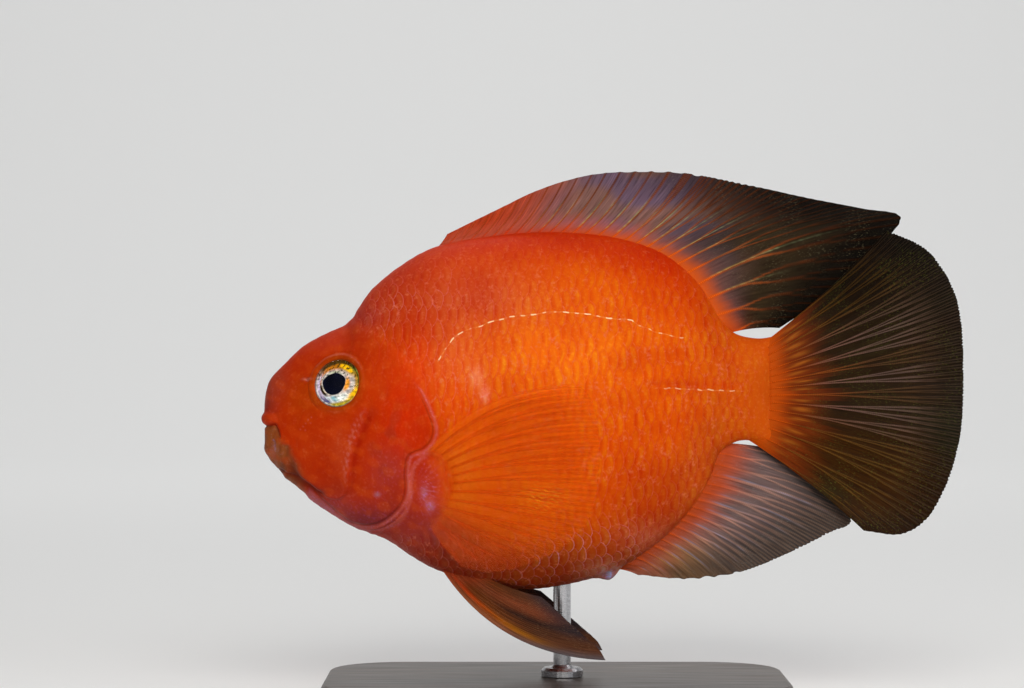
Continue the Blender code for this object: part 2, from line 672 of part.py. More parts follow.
def main():
    for obj in list(bpy.data.objects):
        bpy.data.objects.remove(obj)
    fish = bpy.data.collections.new("blood_parrot_cichlid")
    cutters = bpy.data.collections.new("cutters")
    for collection in (fish, cutters):
        bpy.context.scene.collection.children.link(collection)

    skin = material("skin", (0.85, 0.16, 0.02), 0.35)
    mouth = material("mouth", (0.72, 0.36, 0.12), 0.4)
    fin_skin = material("fin", (0.62, 0.25, 0.08), 0.4)
    iris = material("eye", (0.8, 0.62, 0.2), 0.1)
    base_finish = material("stand_base", (0.05, 0.05, 0.055), 0.45)
    rod_finish = material("stand_rod", (0.6, 0.6, 0.62), 0.3, 1.0)

    vent = ellipsoid("vent", (VENT_AT[0], 0.0, VENT_AT[1]), VENT_SIZE, Vector((0.3, 0, -1)), cutters, 16, 8)
    body = combine(body_solid("body", 0.0, cutters), "UNION", [*lips(cutters), vent])
    pieces = split_body(body, fish, cutters)
    sockets = [eye("socket", side, cutters, GAP) for side in (-1, 1)]
    pits = [nostril_pit(side, cutters) for side in (-1, 1)]
    pockets = [
        gill_cover("pocket", side, GILL_RAISED + 2.0, -GILL_PLATE - GAP, GAP, cutters) for side in (-1, 1)
    ]
    pieces["head"] = keep_largest(combine(pieces["head"], "DIFFERENCE", [*sockets, *pits, *pockets]))
    for name, side in (("left", -1), ("right", 1)):
        plate = gill_cover("plate", side, GILL_RAISED, -GILL_PLATE, 0.0, cutters)
        plate.name = "gill_cover_" + name
        cutters.objects.unlink(plate)
        fish.objects.link(plate)
        pieces[plate.name] = plate
    for name, piece in pieces.items():
        piece.data.materials.clear()
        piece.data.materials.append(mouth if name == "lower_jaw" else skin)

    for name, side in (("left", -1), ("right", 1)):
        ball = eye("eye_" + name, side, fish)
        ball.data.materials.append(iris)
    fins = [dorsal_fin(fish), anal_fin(fish), tail_fin(fish)]
    for name, side in (("left", -1), ("right", 1)):
        fins.append(pectoral_fin("pectoral_fin_" + name, side, fish))
        fins.append(pelvic_fin("pelvic_fin_" + name, side, fish))
    for fin in fins:
        fin = keep_largest(combine(fin, "DIFFERENCE", [body_solid("room", GAP, cutters)]))
        fin.data.materials.append(fin_skin)

    stand_base(fish).data.materials.append(base_finish)
    stand_rod(body_solid("room", GAP, cutters), fish).data.materials.append(rod_finish)
    for obj in fish.objects:
        if not obj.name.startswith("stand_base"):
            obj.data.shade_smooth()


main()
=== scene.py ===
"""The looks of a blood parrot cichlid on its display stand, in a plain pale studio.

The fish heads towards -X and shows its left flank to the camera. Sizes are in millimetres, in the side view:
x runs from the lips to the tail and z up from the body's axis. in_place() turns them into the model's metres.
"""

import math

import bpy
import numpy as np
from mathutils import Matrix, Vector

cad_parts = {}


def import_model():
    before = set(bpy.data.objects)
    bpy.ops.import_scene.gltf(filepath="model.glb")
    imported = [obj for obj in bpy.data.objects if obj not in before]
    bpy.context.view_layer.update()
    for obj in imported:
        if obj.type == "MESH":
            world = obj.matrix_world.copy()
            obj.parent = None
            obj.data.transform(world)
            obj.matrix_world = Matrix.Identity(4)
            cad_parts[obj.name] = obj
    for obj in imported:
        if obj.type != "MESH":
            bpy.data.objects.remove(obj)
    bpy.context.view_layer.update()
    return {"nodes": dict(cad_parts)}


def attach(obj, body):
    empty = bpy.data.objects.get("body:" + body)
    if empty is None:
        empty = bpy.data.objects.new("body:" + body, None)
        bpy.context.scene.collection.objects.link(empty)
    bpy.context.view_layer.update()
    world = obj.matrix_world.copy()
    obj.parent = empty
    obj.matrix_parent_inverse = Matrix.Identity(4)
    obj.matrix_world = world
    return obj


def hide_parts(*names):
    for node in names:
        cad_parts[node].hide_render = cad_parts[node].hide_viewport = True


MM = 0.001
FAR = 1000.0
TOTAL_LENGTH = 200.0
AXIS_HEIGHT = 87.0

# The back and the belly from the mouth to the root of the tail fin: (x, z)
BACK_LINE = (
    (0.7, -7.4), (1.0, 0.0), (2.4, 5.6), (6.2, 10.0), (11.6, 15.0), (18.6, 19.1), (24.4, 21.8),
    (27.6, 26.2), (31.8, 32.0), (39.2, 38.2), (49.8, 43.8), (67.0, 47.2), (85.0, 48.3), (102.0, 46.6),
    (115.0, 42.2), (124.2, 34.8), (129.6, 26.4), (134.2, 19.6), (141.5, 17.6), (147.0, 18.3),
    (151.0, 18.6),
)
BELLY_LINE = (
    (0.7, -7.4), (1.0, -12.0), (2.2, -16.4), (5.6, -20.4), (9.6, -24.2), (13.6, -28.2), (19.4, -32.4),
    (26.0, -36.0), (35.4, -39.8), (42.4, -44.2), (49.6, -48.2), (59.6, -51.6), (73.5, -54.0),
    (88.0, -52.4), (101.0, -48.4), (111.2, -42.2), (121.0, -33.2), (127.6, -23.4), (131.2, -14.6),
    (136.6, -11.6), (143.0, -12.2), (147.5, -13.4), (151.0, -13.8),
)
HALF_WIDTH = (
    (0.0, 0.0), (0.004, 2.0), (0.015, 4.0), (0.035, 6.0), (0.07, 8.8), (0.12, 12.0), (0.19, 16.4),
    (0.27, 20.2), (0.36, 23.0), (0.45, 24.2), (0.54, 23.4), (0.64, 20.4), (0.73, 15.6), (0.8, 11.2),
    (0.86, 8.2), (0.92, 6.6), (0.96, 4.6), (0.99, 2.4), (1.0, 1.6),
)
WIDEST_AT = ((0.0, 0.48), (0.15, 0.44), (0.5, 0.47), (0.85, 0.52), (1.0, 0.5))
BACK_FULLNESS = 1.05
BELLY_FULLNESS = 0.9
END_NARROWS_AT = 142.5
END_NARROWS_OVER = 8.5
END_NARROWING = 0.92
SKIN_RINGS = 600
SKIN_SIDES = 720
HEAD_SHARE = 0.37

EYE_AT = (22.5, 5.1)
EYE_SEEN = 6.8
EYE_REACH = 60
PUPIL_FORWARD = 1.4
NOSTRIL_AT = (12.8, 5.8)

# Lines of the head as they look from the side
MOUTH = ((-2.0, -7.4), (1.5, -7.4), (3.4, -7.1), (4.2, -8.2), (4.8, -9.9), (5.2, -11.2))
UPPER_JAW = (
    (4.2, -8.2), (4.9, -9.9), (5.2, -11.2), (5.6, -12.2), (6.6, -12.9), (7.5, -12.9), (7.9, -13.8),
    (8.1, -15.4), (9.2, -17.9), (10.3, -21.0), (11.8, -25.2),
)
LIP_ROLL_AT = (1.5, -5.4)
LIP_ROLL_SIZE = (2.9, 2.2)
JAW_CREASE = ((3.3, -11.4), (3.6, -12.6), (3.9, -13.8))
CHIN = ((6.6, -16.4), (7.6, -18.0), (9.0, -20.6), (10.8, -23.0), (13.6, -24.9), (16.5, -26.3), (19.6, -27.6))
CHIN_FOLD = ((4.2, -19.0), (6.7, -20.5), (8.6, -21.4), (10.6, -22.6))
SNOUT_PORES = (
    (11.0, -8.4), (11.8, -7.6), (12.4, -8.6), (12.5, -6.7), (13.2, -5.7), (13.9, -6.6), (14.2, -5.0),
)
CHEEK_EDGE = (
    (9.5, -21.0), (13.0, -23.6), (16.0, -25.8), (19.2, -27.8), (21.6, -28.2), (23.7, -27.1),
    (24.7, -25.0), (25.0, -22.0), (25.1, -19.0), (25.6, -15.2), (26.6, -12.0), (27.8, -8.5), (29.5, -4.6),
    (31.0, -1.6),
)
GILL_EDGE = (
    (13.0, -24.3), (16.0, -27.0), (19.0, -29.7), (22.0, -32.2), (25.4, -34.5), (28.5, -35.3),
    (31.5, -35.2), (35.0, -33.9), (38.0, -31.5), (40.2, -28.5), (40.9, -25.0), (40.7, -21.5),
    (41.0, -18.0), (41.8, -15.7), (43.5, -14.7), (45.7, -13.9), (47.5, -12.4), (48.7, -10.0),
    (48.8, -7.6), (47.8, -4.6), (46.3, -1.0), (44.4, 2.4), (41.8, 5.2),
)
GILL_FOLD = (
    (48.5, -13.4), (45.6, -16.6), (43.6, -18.7), (42.8, -21.0), (42.5, -24.0), (42.4, -27.6),
    (41.0, -32.0), (38.4, -35.0), (34.4, -36.9), (30.4, -37.2),
)
NAPE_EDGE = (
    (14.0, 34.0), (22.0, 26.0), (26.0, 22.6), (33.7, 17.7), (40.9, 11.4), (46.8, 2.4), (49.4, -6.6),
    (50.0, -14.0), (50.5, -22.0), (51.5, -32.0), (53.0, -44.0), (54.0, -60.0),
)
PECTORAL_PAD_AT = (47.4, -25.0)
PAD_FAN_FROM = (43.0, -25.0)
VENT_AT = (99.2, -51.2)

LATERAL_LINE = (
    (49.9, 10.7), (52.0, 14.2), (55.3, 18.0), (58.3, 19.8), (62.1, 21.1), (66.0, 22.4), (70.0, 23.6),
    (73.1, 24.0), (81.5, 24.9), (84.1, 25.0), (91.5, 24.7), (98.3, 23.6), (105.1, 22.8), (108.2, 21.1),
    (116.6, 18.4), (122.9, 17.4),
)
LATERAL_LINE_REAR = ((108.0, 3.9), (118.0, 3.4), (128.0, 2.9), (138.0, 2.6))
PORE_STEP = 3.1
PORE_REACH = 5.0

SCALE_LENGTH = 2.7
SCALE_ROW = 5.8
SCALE_ROUNDING = 2.2
SCALE_ROOT = 2.6
PUT_LAST = 1e4

# Fins: key rays as (share of the way across the fin, (x, z) of the root, (x, z) of the tip)
DORSAL_RAYS = (
    (0.0, (49.7, 43.7), (52.9, 47.4)), (0.12, (59.4, 45.7), (65.7, 53.7)),
    (0.25, (70.3, 47.4), (79.7, 60.3)), (0.38, (81.7, 48.3), (93.7, 64.3)),
    (0.5, (92.6, 48.3), (106.6, 65.3)), (0.6, (102.3, 46.6), (119.4, 65.0)),
    (0.7, (110.9, 44.0), (135.1, 62.3)), (0.78, (117.7, 40.6), (153.7, 58.3)),
    (0.84, (122.6, 37.1), (171.4, 54.9)), (0.88, (125.7, 33.7), (182.9, 52.3)),
    (0.92, (128.6, 29.4), (172.5, 40.0)), (0.96, (131.1, 24.3), (160.5, 29.0)),
    (1.0, (134.6, 18.9), (148.0, 20.6)),
)
ANAL_RAYS = (
    (0.0, (102.0, -48.9), (107.4, -50.0)), (0.2, (110.3, -43.1), (122.3, -51.2)),
    (0.4, (117.4, -36.9), (137.1, -49.0)), (0.6, (123.4, -30.6), (151.5, -43.4)),
    (0.75, (126.9, -24.9), (162.6, -38.0)), (0.85, (128.6, -20.3), (168.6, -34.6)),
    (0.93, (130.0, -16.0), (161.5, -25.5)), (1.0, (131.4, -12.6), (146.5, -14.2)),
)
CAUDAL_RAYS = (
    (0.0, (144.6, 17.7), (178.0, 48.4)), (0.12, (145.4, 14.3), (189.4, 42.9)),
    (0.25, (146.0, 10.3), (196.6, 32.3)), (0.37, (146.3, 6.9), (199.3, 21.4)),
    (0.48, (146.6, 4.0), (199.9, 10.9)), (0.58, (146.6, 1.1), (199.9, 0.6)),
    (0.7, (146.3, -2.6), (198.6, -11.4)), (0.82, (145.4, -6.9), (195.1, -24.0)),
    (0.91, (143.8, -10.3), (189.0, -34.4)), (0.96, (142.4, -12.2), (182.0, -38.2)),
    (1.0, (141.2, -13.2), (171.6, -37.2)),
)
PECTORAL_RAYS = (
    (0.0, (44.5, -17.6), (89.6, 5.0)), (0.1, (47.0, -17.2), (92.9, 1.6)),
    (0.2, (49.0, -18.2), (94.9, -3.6)), (0.35, (50.8, -20.6), (95.7, -11.9)),
    (0.5, (51.2, -23.4), (95.4, -21.0)), (0.62, (50.6, -25.9), (94.1, -29.8)),
    (0.72, (49.8, -27.8), (90.2, -36.7)), (0.8, (48.9, -29.3), (83.9, -41.6)),
    (0.88, (48.0, -30.6), (75.0, -45.5)), (0.94, (47.3, -31.6), (65.9, -47.4)),
    (1.0, (46.4, -32.4), (56.5, -45.8)),
)
PELVIC_RAYS = (
    (0.0, (49.1, -47.4), (97.7, -72.9)), (0.2, (50.9, -48.0), (96.0, -70.0)),
    (0.4, (52.6, -48.6), (92.0, -66.3)), (0.6, (54.3, -49.1), (87.1, -62.0)),
    (0.8, (55.7, -49.4), (83.1, -58.3)), (1.0, (57.1, -50.0), (79.7, -55.4)),
)
ROOT_SUNK = 3.0
REAR_SWAY = 2.8
TAIL_SWAY = -4.0
FIN_WAVE = 0.5
TAIL_WAVE = 0.7
TAIL_ROOT_HALF = 4.8
TAIL_ROOT_FADE = 7.5
PECTORAL_LIFT = 2.4
PECTORAL_SPREAD = 4.6
PECTORAL_CUP = 1.4
JOINT_STEP = 0.55
PELVIC_OFF = 3.6
PELVIC_OFF_REAR = 1.2
PELVIC_CUP = 1.6
PELVIC_SPREAD = 11.0
PELVIC_ROOT_SHIFT = (-0.5, 4.0)

# Colours, as linear red, green and blue
FLANK = (0.72, 0.082, 0.0006)
# BACK and HEAD are the skin's own colour, darkened in part as painted shade where the back and the head turn
# away from the light
BACK = (0.52, 0.018, 0.0003)
HEAD = (0.46, 0.024, 0.0004)
# BELLY is the skin's colour darkened as painted shade, where the underside turns away from the light
BELLY = (0.31, 0.032, 0.003)
PEDUNCLE = (0.6, 0.076, 0.002)
PINK = (0.6, 0.11, 0.08)
JAW = (0.22, 0.054, 0.012)
# Painted shade for the dark lines in the mouth's slit, the chin's creases and along the gill cover's edge
CREASE_SHADE = (0.11, 0.006, 0.002)
BLACK = (0.0, 0.0, 0.0)

# Soft patches of the skin: place, width, height, colour and strength. Some are painted shade or light, as
# marked.
PATCHES = (
    ((45, 24), 17, 15, (0.52, 0.032, 0.004), 0.85), ((62, 30), 16, 9, (0.56, 0.052, 0.014), 0.75),
    ((37, 31), 9, 7, (0.46, 0.03, 0.005), 0.75), ((30, 24), 5, 4, (0.4, 0.034, 0.018), 0.7),
    ((41, -3), 8, 15, (0.62, 0.022, 0.0006), 0.9), ((45, 10), 7, 8, (0.76, 0.05, 0.002), 0.8),
    ((30, 4), 6, 8, (0.54, 0.036, 0.001), 0.7), ((17, -12), 7, 6, (0.48, 0.034, 0.002), 0.7),
    ((22, -14), 2.4, 8, (0.5, 0.052, 0.01), 0.6), ((36, -21), 5, 7, (0.38, 0.034, 0.024), 0.8),
    ((22, -25), 6, 3.5, (0.34, 0.018, 0.003), 0.7), ((38, -28), 2.5, 4, (0.41, 0.028, 0.006), 0.6),
    # The patch at (1.5, 0) is painted shade along the snout's edge
    ((1.5, 0.0), 3.0, 5.5, (0.21, 0.034, 0.022), 0.65), ((4.5, 5), 3.0, 4.5, (0.32, 0.04, 0.018), 0.6),
    ((13, 1), 7, 5, (0.42, 0.048, 0.001), 0.6), ((9, -7), 4, 4, (0.44, 0.027, 0.001), 0.6),
    # The patch at (30, -34) is painted shade on the underside of the throat
    ((30, -34), 13, 4.5, (0.19, 0.024, 0.03), 0.85), ((18, -31), 7, 3.5, (0.3, 0.045, 0.042), 0.8),
    # The patch at (58, -45) is painted shade along the belly's underside
    ((48, -38), 10, 6, (0.32, 0.036, 0.028), 0.85), ((58, -45), 16, 7, (0.25, 0.026, 0.01), 0.8),
    ((61.3, 6.8), 1.7, 2.6, (0.95, 0.36, 0.16), 0.7), ((63.6, 1.8), 1.2, 2.2, (0.9, 0.28, 0.16), 0.6),
    ((56, 12), 8, 8, (0.78, 0.11, 0.02), 0.6), ((55, 2), 6, 8, (0.76, 0.05, 0.001), 0.6),
    # The patch at (86, 12) is partly a painted pool of light, where the flank is lit most
    ((86, 12), 24, 10, (0.9, 0.14, 0.002), 0.8), ((112, -28), 13, 12, (0.5, 0.04, 0.001), 0.85),
    ((112, -40), 10, 4.5, (0.52, 0.085, 0.03), 0.7), ((98, -49), 7, 2.6, (0.7, 0.23, 0.11), 0.8),
    ((99.6, -49.6), 2.2, 0.9, (0.42, 0.4, 0.52), 0.95), ((125, -24), 6, 9, (0.66, 0.085, 0.004), 0.6),
    # The patch at (86, -47) is painted shade along the belly's underside
    ((86, -47), 14, 5, (0.27, 0.03, 0.004), 0.6), ((144, 4), 5, 9, (0.52, 0.08, 0.003), 0.6),
    ((32.9, -27), 0.9, 0.7, (0.42, 0.2, 0.26), 0.5),
    (PECTORAL_PAD_AT, 3.6, 6.0, (0.48, 0.044, 0.03), 0.7),
    ((48.0, -30.0), 1.3, 1.6, (0.5, 0.26, 0.38), 0.4),
    ((46.4, -26.4), 1.0, 1.8, (0.46, 0.18, 0.24), 0.5),
)

# The camera's view, which holds the photo's frame at the fish
IMAGE_WIDTH = 1024
MM_PER_PIXEL = 2 / 7
VIEW_CENTRE = (71.4, 16.0)
CAMERA_DISTANCE = 900.0
SENSOR_WIDTH = 36.0


class Line:
    """A smooth line through given points, read by the share of its length."""

    STEPS = 24

    def __init__(self, points):
        knots = np.asarray(points, float)
        gaps = np.maximum(np.linalg.norm(np.diff(knots, axis=0), axis=1), 1e-9) ** 0.5
        at = np.concatenate([[0.0], np.cumsum(gaps)])
        slopes = np.gradient(knots, at, axis=0)
        share = np.linspace(0.0, 1.0, self.STEPS, endpoint=False)[:, None]
        a = 2 * share**3 - 3 * share**2 + 1
        b = share**3 - 2 * share**2 + share
        c = -2 * share**3 + 3 * share**2
        d = share**3 - share**2
        pieces = [
            a * knots[i] + b * gaps[i] * slopes[i] + c * knots[i + 1] + d * gaps[i] * slopes[i + 1]
            for i in range(len(gaps))
        ]
        self.points = np.vstack([*pieces, knots[-1:]])
        length = np.concatenate([[0.0], np.cumsum(np.linalg.norm(np.diff(self.points, axis=0), axis=1))])
        self.length = length[-1]
        self.shares = length / length[-1]

    def at(self, share):
        return np.stack([np.interp(share, self.shares, axis) for axis in self.points.T], axis=-1)


def level(pairs, share):
    """A value that changes smoothly along the body, from (share, value) pairs."""
    points = Line([(at * 100, value) for at, value in pairs]).points
    return np.interp(np.asarray(share) * 100, points[:, 0], points[:, 1])


def smooth_step(value):
    value = np.clip(value, 0.0, 1.0)
    return value * value * (3 - 2 * value)


def rise(value, start, length):
    """0 up to start, then a smooth rise to 1 over length."""
    return smooth_step((value - start) / length)


def fall(value, end, length):
    """1 up to end - length, then a smooth fall to 0 at end."""
    return smooth_step((end - value) / length)


def hump(distance, width):
    return np.exp(-((distance / width) ** 2))


def blob(x, z, at, width, height=None):
    """A soft round spot round a place in the side view."""
    return np.exp(-(((x - at[0]) / width) ** 2) - ((z - at[1]) / (height or width)) ** 2)


def in_place(points):
    """From the design's millimetres to the model's own frame in metres."""
    return (np.asarray(points, float) + (-TOTAL_LENGTH / 2, 0.0, AXIS_HEIGHT)) * MM


def body_points(shares, angles):
    """The body's surface as an array [ring, angle, xyz], from the belly at -90 degrees to the back at 90."""
    back = Line(BACK_LINE).at(shares)
    belly = Line(BELLY_LINE).at(shares)
    width = level(HALF_WIDTH, shares)[:, None]
    widest = level(WIDEST_AT, shares)[:, None]
    sine = np.sin(angles)[None, :]
    fullness = np.where(sine > 0, BACK_FULLNESS, BELLY_FULLNESS)
    across = width * np.abs(np.cos(angles))[None, :] ** fullness
    up = np.where(sine > 0, widest + (1 - widest) * sine, widest + widest * sine)[..., None]
    middle = belly[:, None, :] + (back - belly)[:, None, :] * up
    return np.stack([middle[..., 0], across, middle[..., 1]], axis=-1)


def outward(surface):
    """Unit normals of an array [ring, angle, xyz] of the body's +Y half."""
    normal = np.cross(np.gradient(surface, axis=1), np.gradient(surface, axis=0))
    normal *= np.sign(normal[:, surface.shape[1] // 2, 1].mean())
    normal[:, (0, -1), 1] = 0.0
    return normal / np.maximum(np.linalg.norm(normal, axis=-1), 1e-12)[..., None]


def on_skin(x, z, side):
    """The point of the body's skin at (x, z) in the side view, and its outward normal."""
    surface = body_points(np.linspace(0.002, 0.99, 600), np.linspace(-1.5, 1.5, 300))
    distance = (surface[..., 0] - x) ** 2 + (surface[..., 2] - z) ** 2
    i, j = np.unravel_index(np.argmin(distance), distance.shape)
    i = min(max(i, 1), surface.shape[0] - 2)
    j = min(max(j, 1), surface.shape[1] - 2)
    normal = np.cross(surface[i + 1, j] - surface[i - 1, j], surface[i, j + 1] - surface[i, j - 1])
    normal *= math.copysign(1.0, normal[1]) / np.linalg.norm(normal)
    flip = np.array([1.0, side, 1.0])
    return surface[i, j] * flip, normal * flip


class Near:
    """Where places (x, z) lie beside a line: distance, side (1 on its left) and share along it."""

    STEPS = 70

    def __init__(self, points, x, z, reach=12.0):
        route = Line(points)
        line = route.at(np.linspace(0.0, 1.0, self.STEPS))
        low, high = line.min(axis=0) - reach, line.max(axis=0) + reach
        close = (x > low[0]) & (x < high[0]) & (z > low[1]) & (z < high[1])
        px, pz = x[close], z[close]
        best, side, share = np.full(px.shape, FAR**2), np.zeros(px.shape), np.zeros(px.shape)
        for i, (a, b) in enumerate(zip(line[:-1], line[1:])):
            run = b - a
            along = np.clip(((px - a[0]) * run[0] + (pz - a[1]) * run[1]) / run.dot(run), 0.0, 1.0)
            dx, dz = px - a[0] - along * run[0], pz - a[1] - along * run[1]
            apart = dx * dx + dz * dz
            closer = apart < best
            best = np.where(closer, apart, best)
            side = np.where(closer, np.sign(run[0] * dz - run[1] * dx), side)
            share = np.where(closer, (i + along) / (self.STEPS - 1), share)
        self.distance, self.side, self.share = np.full(x.shape, FAR), np.zeros(x.shape), np.zeros(x.shape)
        self.distance[close], self.side[close], self.share[close] = np.sqrt(best), side, share
        self.signed = self.distance * self.side
        self.length = route.length
        self.close = fall(self.distance, reach, 4.0)

    def fade(self, start=0.1, end=0.1):
        """1 along the line, falling to 0 at its ends."""
        return rise(self.share, 0, start) * fall(self.share, 1, end) * self.close

    def groove(self, depth, width, start=0.05, end=0.15):
        return -depth * hump(self.distance, width) * self.fade(start, end)

    def ledge(self, height, inward, groove, width, side=1.0, edge=0.28, ends=(0.1, 0.1)):
        """A raised edge on one side of the line that fades over inward, with a groove on the other."""
        raised = 0.5 + 0.5 * np.tanh(self.signed * side / edge)
        over = height * np.exp(-self.distance / inward)
        under = -groove * hump(self.distance, width)
        return (over * raised + under * (1 - raised)) * self.fade(*ends)


def scale_pattern(u, v, bulge):
    """How far each place lies in front of the free edge of the scale on top there, as a share of a scale."""
    found = []
    for step in (0, 1):
        row = np.floor(v) + step
        offset = np.mod(row / 2, 1.0)
        beside = np.clip(1 - np.abs(v - row) ** SCALE_ROUNDING, 0.0, 1.0)
        reach = bulge * beside ** (1 / SCALE_ROUNDING)
        centre = np.ceil(u - reach - offset) + offset
        edge = reach - (u - centre)
        found.append((np.where(edge < SCALE_ROOT * reach, centre, PUT_LAST), edge))
    return np.where(found[0][0] < found[1][0], found[0][1], found[1][1])


def waves(x, z, size, seed):
    """A smooth irregular field between about -1 and 1."""
    rng = np.random.default_rng(seed)
    turn = 2 * math.pi
    total = np.zeros(np.shape(x))
    for _ in range(7):
        angle, phase, stretch = rng.uniform(0, turn), rng.uniform(0, turn), rng.uniform(0.7, 1.6)
        total += np.sin((x * math.cos(angle) + z * math.sin(angle)) * turn / (size * stretch) + phase)
    return total / 3.2


def layered(colour, *layers):
    """A colour with others laid over it in turn, from (colour, share) pairs."""
    colour = np.asarray(colour)
    for other, share in layers:
        colour = colour + (np.asarray(other) - colour) * np.clip(share, 0.0, 1.0)[..., None]
    return colour


def ring_shares():
    """Shares of the body's length for the skin's rings, closer on the head and closest at the lips."""
    share = np.linspace(0.0, 1.0, 4000)
    density = 1.0 + 1.7 * (1 - rise(share, HEAD_SHARE, 0.08)) + 5.0 * np.exp(-share / 0.015)
    total = np.concatenate([[0.0], np.cumsum(density[1:])])
    return np.interp(np.linspace(0.0, 1.0, SKIN_RINGS + 1)[1:], total / total[-1], share)


class Skin:
    """One half of the skin, on the +Y side, as arrays [ring, angle]: its shape, its markings with painted
    light and shade, and its scales.
    """

    def __init__(self):
        angles = np.linspace(-math.pi / 2, math.pi / 2, SKIN_SIDES // 2 + 1)
        self.base = body_points(ring_shares(), angles)
        self.normal = outward(self.base)
        closer = CAMERA_DISTANCE / (CAMERA_DISTANCE - self.base[..., 1])
        self.x, self.z = (at + (self.base[..., i] - at) * closer for at, i in zip(VIEW_CENTRE, (0, 2)))
        self.lines()
        self.scales()
        self.points = self.base + self.normal * self.relief()[..., None]
        self.points[..., 1] *= 1 - END_NARROWING * rise(self.base[..., 0], END_NARROWS_AT, END_NARROWS_OVER)
        self.points[:, (0, -1), 1] = 0.0
        self.colour = self.markings_light_and_shade()

    def lines(self):
        x, z = self.x, self.z
        self.mouth, self.upper_jaw, self.chin = (Near(p, x, z) for p in (MOUTH, UPPER_JAW, CHIN))
        self.jaw_edge, self.jaw_crease = (Near(p, x, z) for p in ((*MOUTH, *UPPER_JAW[3:]), JAW_CREASE))
        self.cheek, self.fold, self.chin_fold = (Near(p, x, z) for p in (CHEEK_EDGE, GILL_FOLD, CHIN_FOLD))
        self.gill, self.nape = Near(GILL_EDGE, x, z, 20.0), Near(NAPE_EDGE, x, z, 300.0)
        self.front, self.rear = Near(LATERAL_LINE, x, z), Near(LATERAL_LINE_REAR, x, z)
        place, normal = on_skin(*EYE_AT, 1)
        away = self.base - place
        along = away @ normal
        self.from_eye = np.sqrt(np.maximum((away**2).sum(axis=-1) - along**2, 0.0))
        self.from_eye[self.x > EYE_REACH] = FAR
        self.from_nostril = np.hypot(x - NOSTRIL_AT[0], z - NOSTRIL_AT[1])
        self.behind_nape = smooth_step(0.5 + self.nape.signed / 8.0)

    def scales(self):
        x, z = self.x, self.z
        steps = np.linalg.norm(np.diff(self.base, axis=1), axis=-1)
        arc = np.concatenate([np.zeros((len(x), 1)), np.cumsum(steps, axis=1)], axis=1)
        self.from_back = arc[:, -1:] - arc
        self.from_belly = arc
        middle = arc[:, arc.shape[1] // 2, None]
        self.u = self.base[..., 0] / SCALE_LENGTH + 0.15 * waves(x, z, 31.0, 1) + 0.1 * waves(x, z, 7.0, 9)
        up = arc - middle
        narrowing = 1 - 0.35 * rise(x, 105, 35)
        self.v = up / SCALE_ROW * (1 + 0.17 * (up / 50) ** 2) / narrowing
        self.v += 0.12 * waves(x, z, 27.0, 2) + 0.1 * waves(x, z, 8.0, 10)
        throat = rise(x, 33, 6) * fall(z, -37, 3)
        body = np.maximum(self.behind_nape, throat)
        cheek = rise(x, 27, 6) * (1 - body)
        scaly = body * (1 - 0.9 * blob(x, z, PECTORAL_PAD_AT, 5.5, 8))
        scaly *= 1 - 0.95 * rise(x, 134, 11)
        scaly *= 0.3 + 0.7 * rise(self.from_back, 0, 9.0)
        scaly *= 1 - 0.5 * rise(z, 27, 12)
        self.scaly = np.maximum(scaly, 0.16 * cheek)
        belly = fall(z, -32, 9) * rise(x, 66, 14) * fall(x, 113, 8)
        shoulder = np.maximum(blob(x, z, (44, 27), 22, 13), 0.7 * blob(x, z, (56, 12), 9, 9))
        shoulder *= 0.12 + 0.22 * smooth_step(waves(x, z, 9.0, 4) + 0.5)
        self.rimmed = np.maximum(belly, np.maximum(shoulder, 0.4 * throat)) * self.scaly
        self.bulge = 1.6 + 0.8 * self.rimmed

    def relief(self):
        x, z = self.x, self.z
        out = self.cheek.ledge(0.45, 4.0, 0.25, 1.4, edge=0.35)
        out += self.gill.ledge(0.36, 6.0, 0.2, 0.6, ends=(0.05, 0.12), edge=0.35)
        out += 0.13 * self.outside_gill() * self.gill.fade(0.5, 0.1)
        out += self.fold.ledge(0.25, 2.0, 0.2, 0.7, side=-1.0, edge=0.4)
        out += self.wrinkles()
        out += self.nape.ledge(0.25, 6.0, 0.15, 2.5, side=-1.0, edge=1.2, ends=(0.15, 0.55))
        out += self.mouth_relief()
        out += 0.4 * blob(x, z, PECTORAL_PAD_AT, 6.0, 9.0)
        out += 0.04 * self.pad_fan(34.0, np.cos) * blob(x, z, (49.0, -25.2), 2.2, 7.0)
        out += self.eye_relief()
        out += 0.14 * hump(self.from_nostril - 1.0, 0.4) - 0.7 * hump(self.from_nostril, 0.5)
        out += 0.1 * hump(self.front.distance, 0.8) * self.front.fade(0.02, 0.1)
        out += 0.16 * fall(x, 60, 20) * waves(x, z, 14.0, 6)
        out += 0.04 * fall(x, 55, 10) * waves(x, z, 2.6, 8)
        out += 2.6 * blob(x, z, VENT_AT, 2.8, 4.0) * hump(self.base[..., 1], 2.2)
        edge = scale_pattern(self.u, self.v, self.bulge)
        out += self.scaly * (0.07 + 0.07 * self.rimmed) * (0.6 - edge)
        return out

    def outside_gill(self):
        """1 along a narrow strip just outside the gill cover's edge."""
        return hump(self.gill.signed + 1.0, 0.42) * (self.gill.side < 0)

    def wrinkles(self):
        """Folds of the throat's skin behind the lower edge of the gill cover."""
        outside = -self.gill.signed
        where = rise(self.gill.share, 0.2, 0.12) * fall(self.gill.share, 0.52, 0.1)
        where *= fall(outside, 4.5, 3) * rise(outside, 0, 0.3)
        return 0.14 * np.sin(outside * 2 * math.pi / 1.25) * where

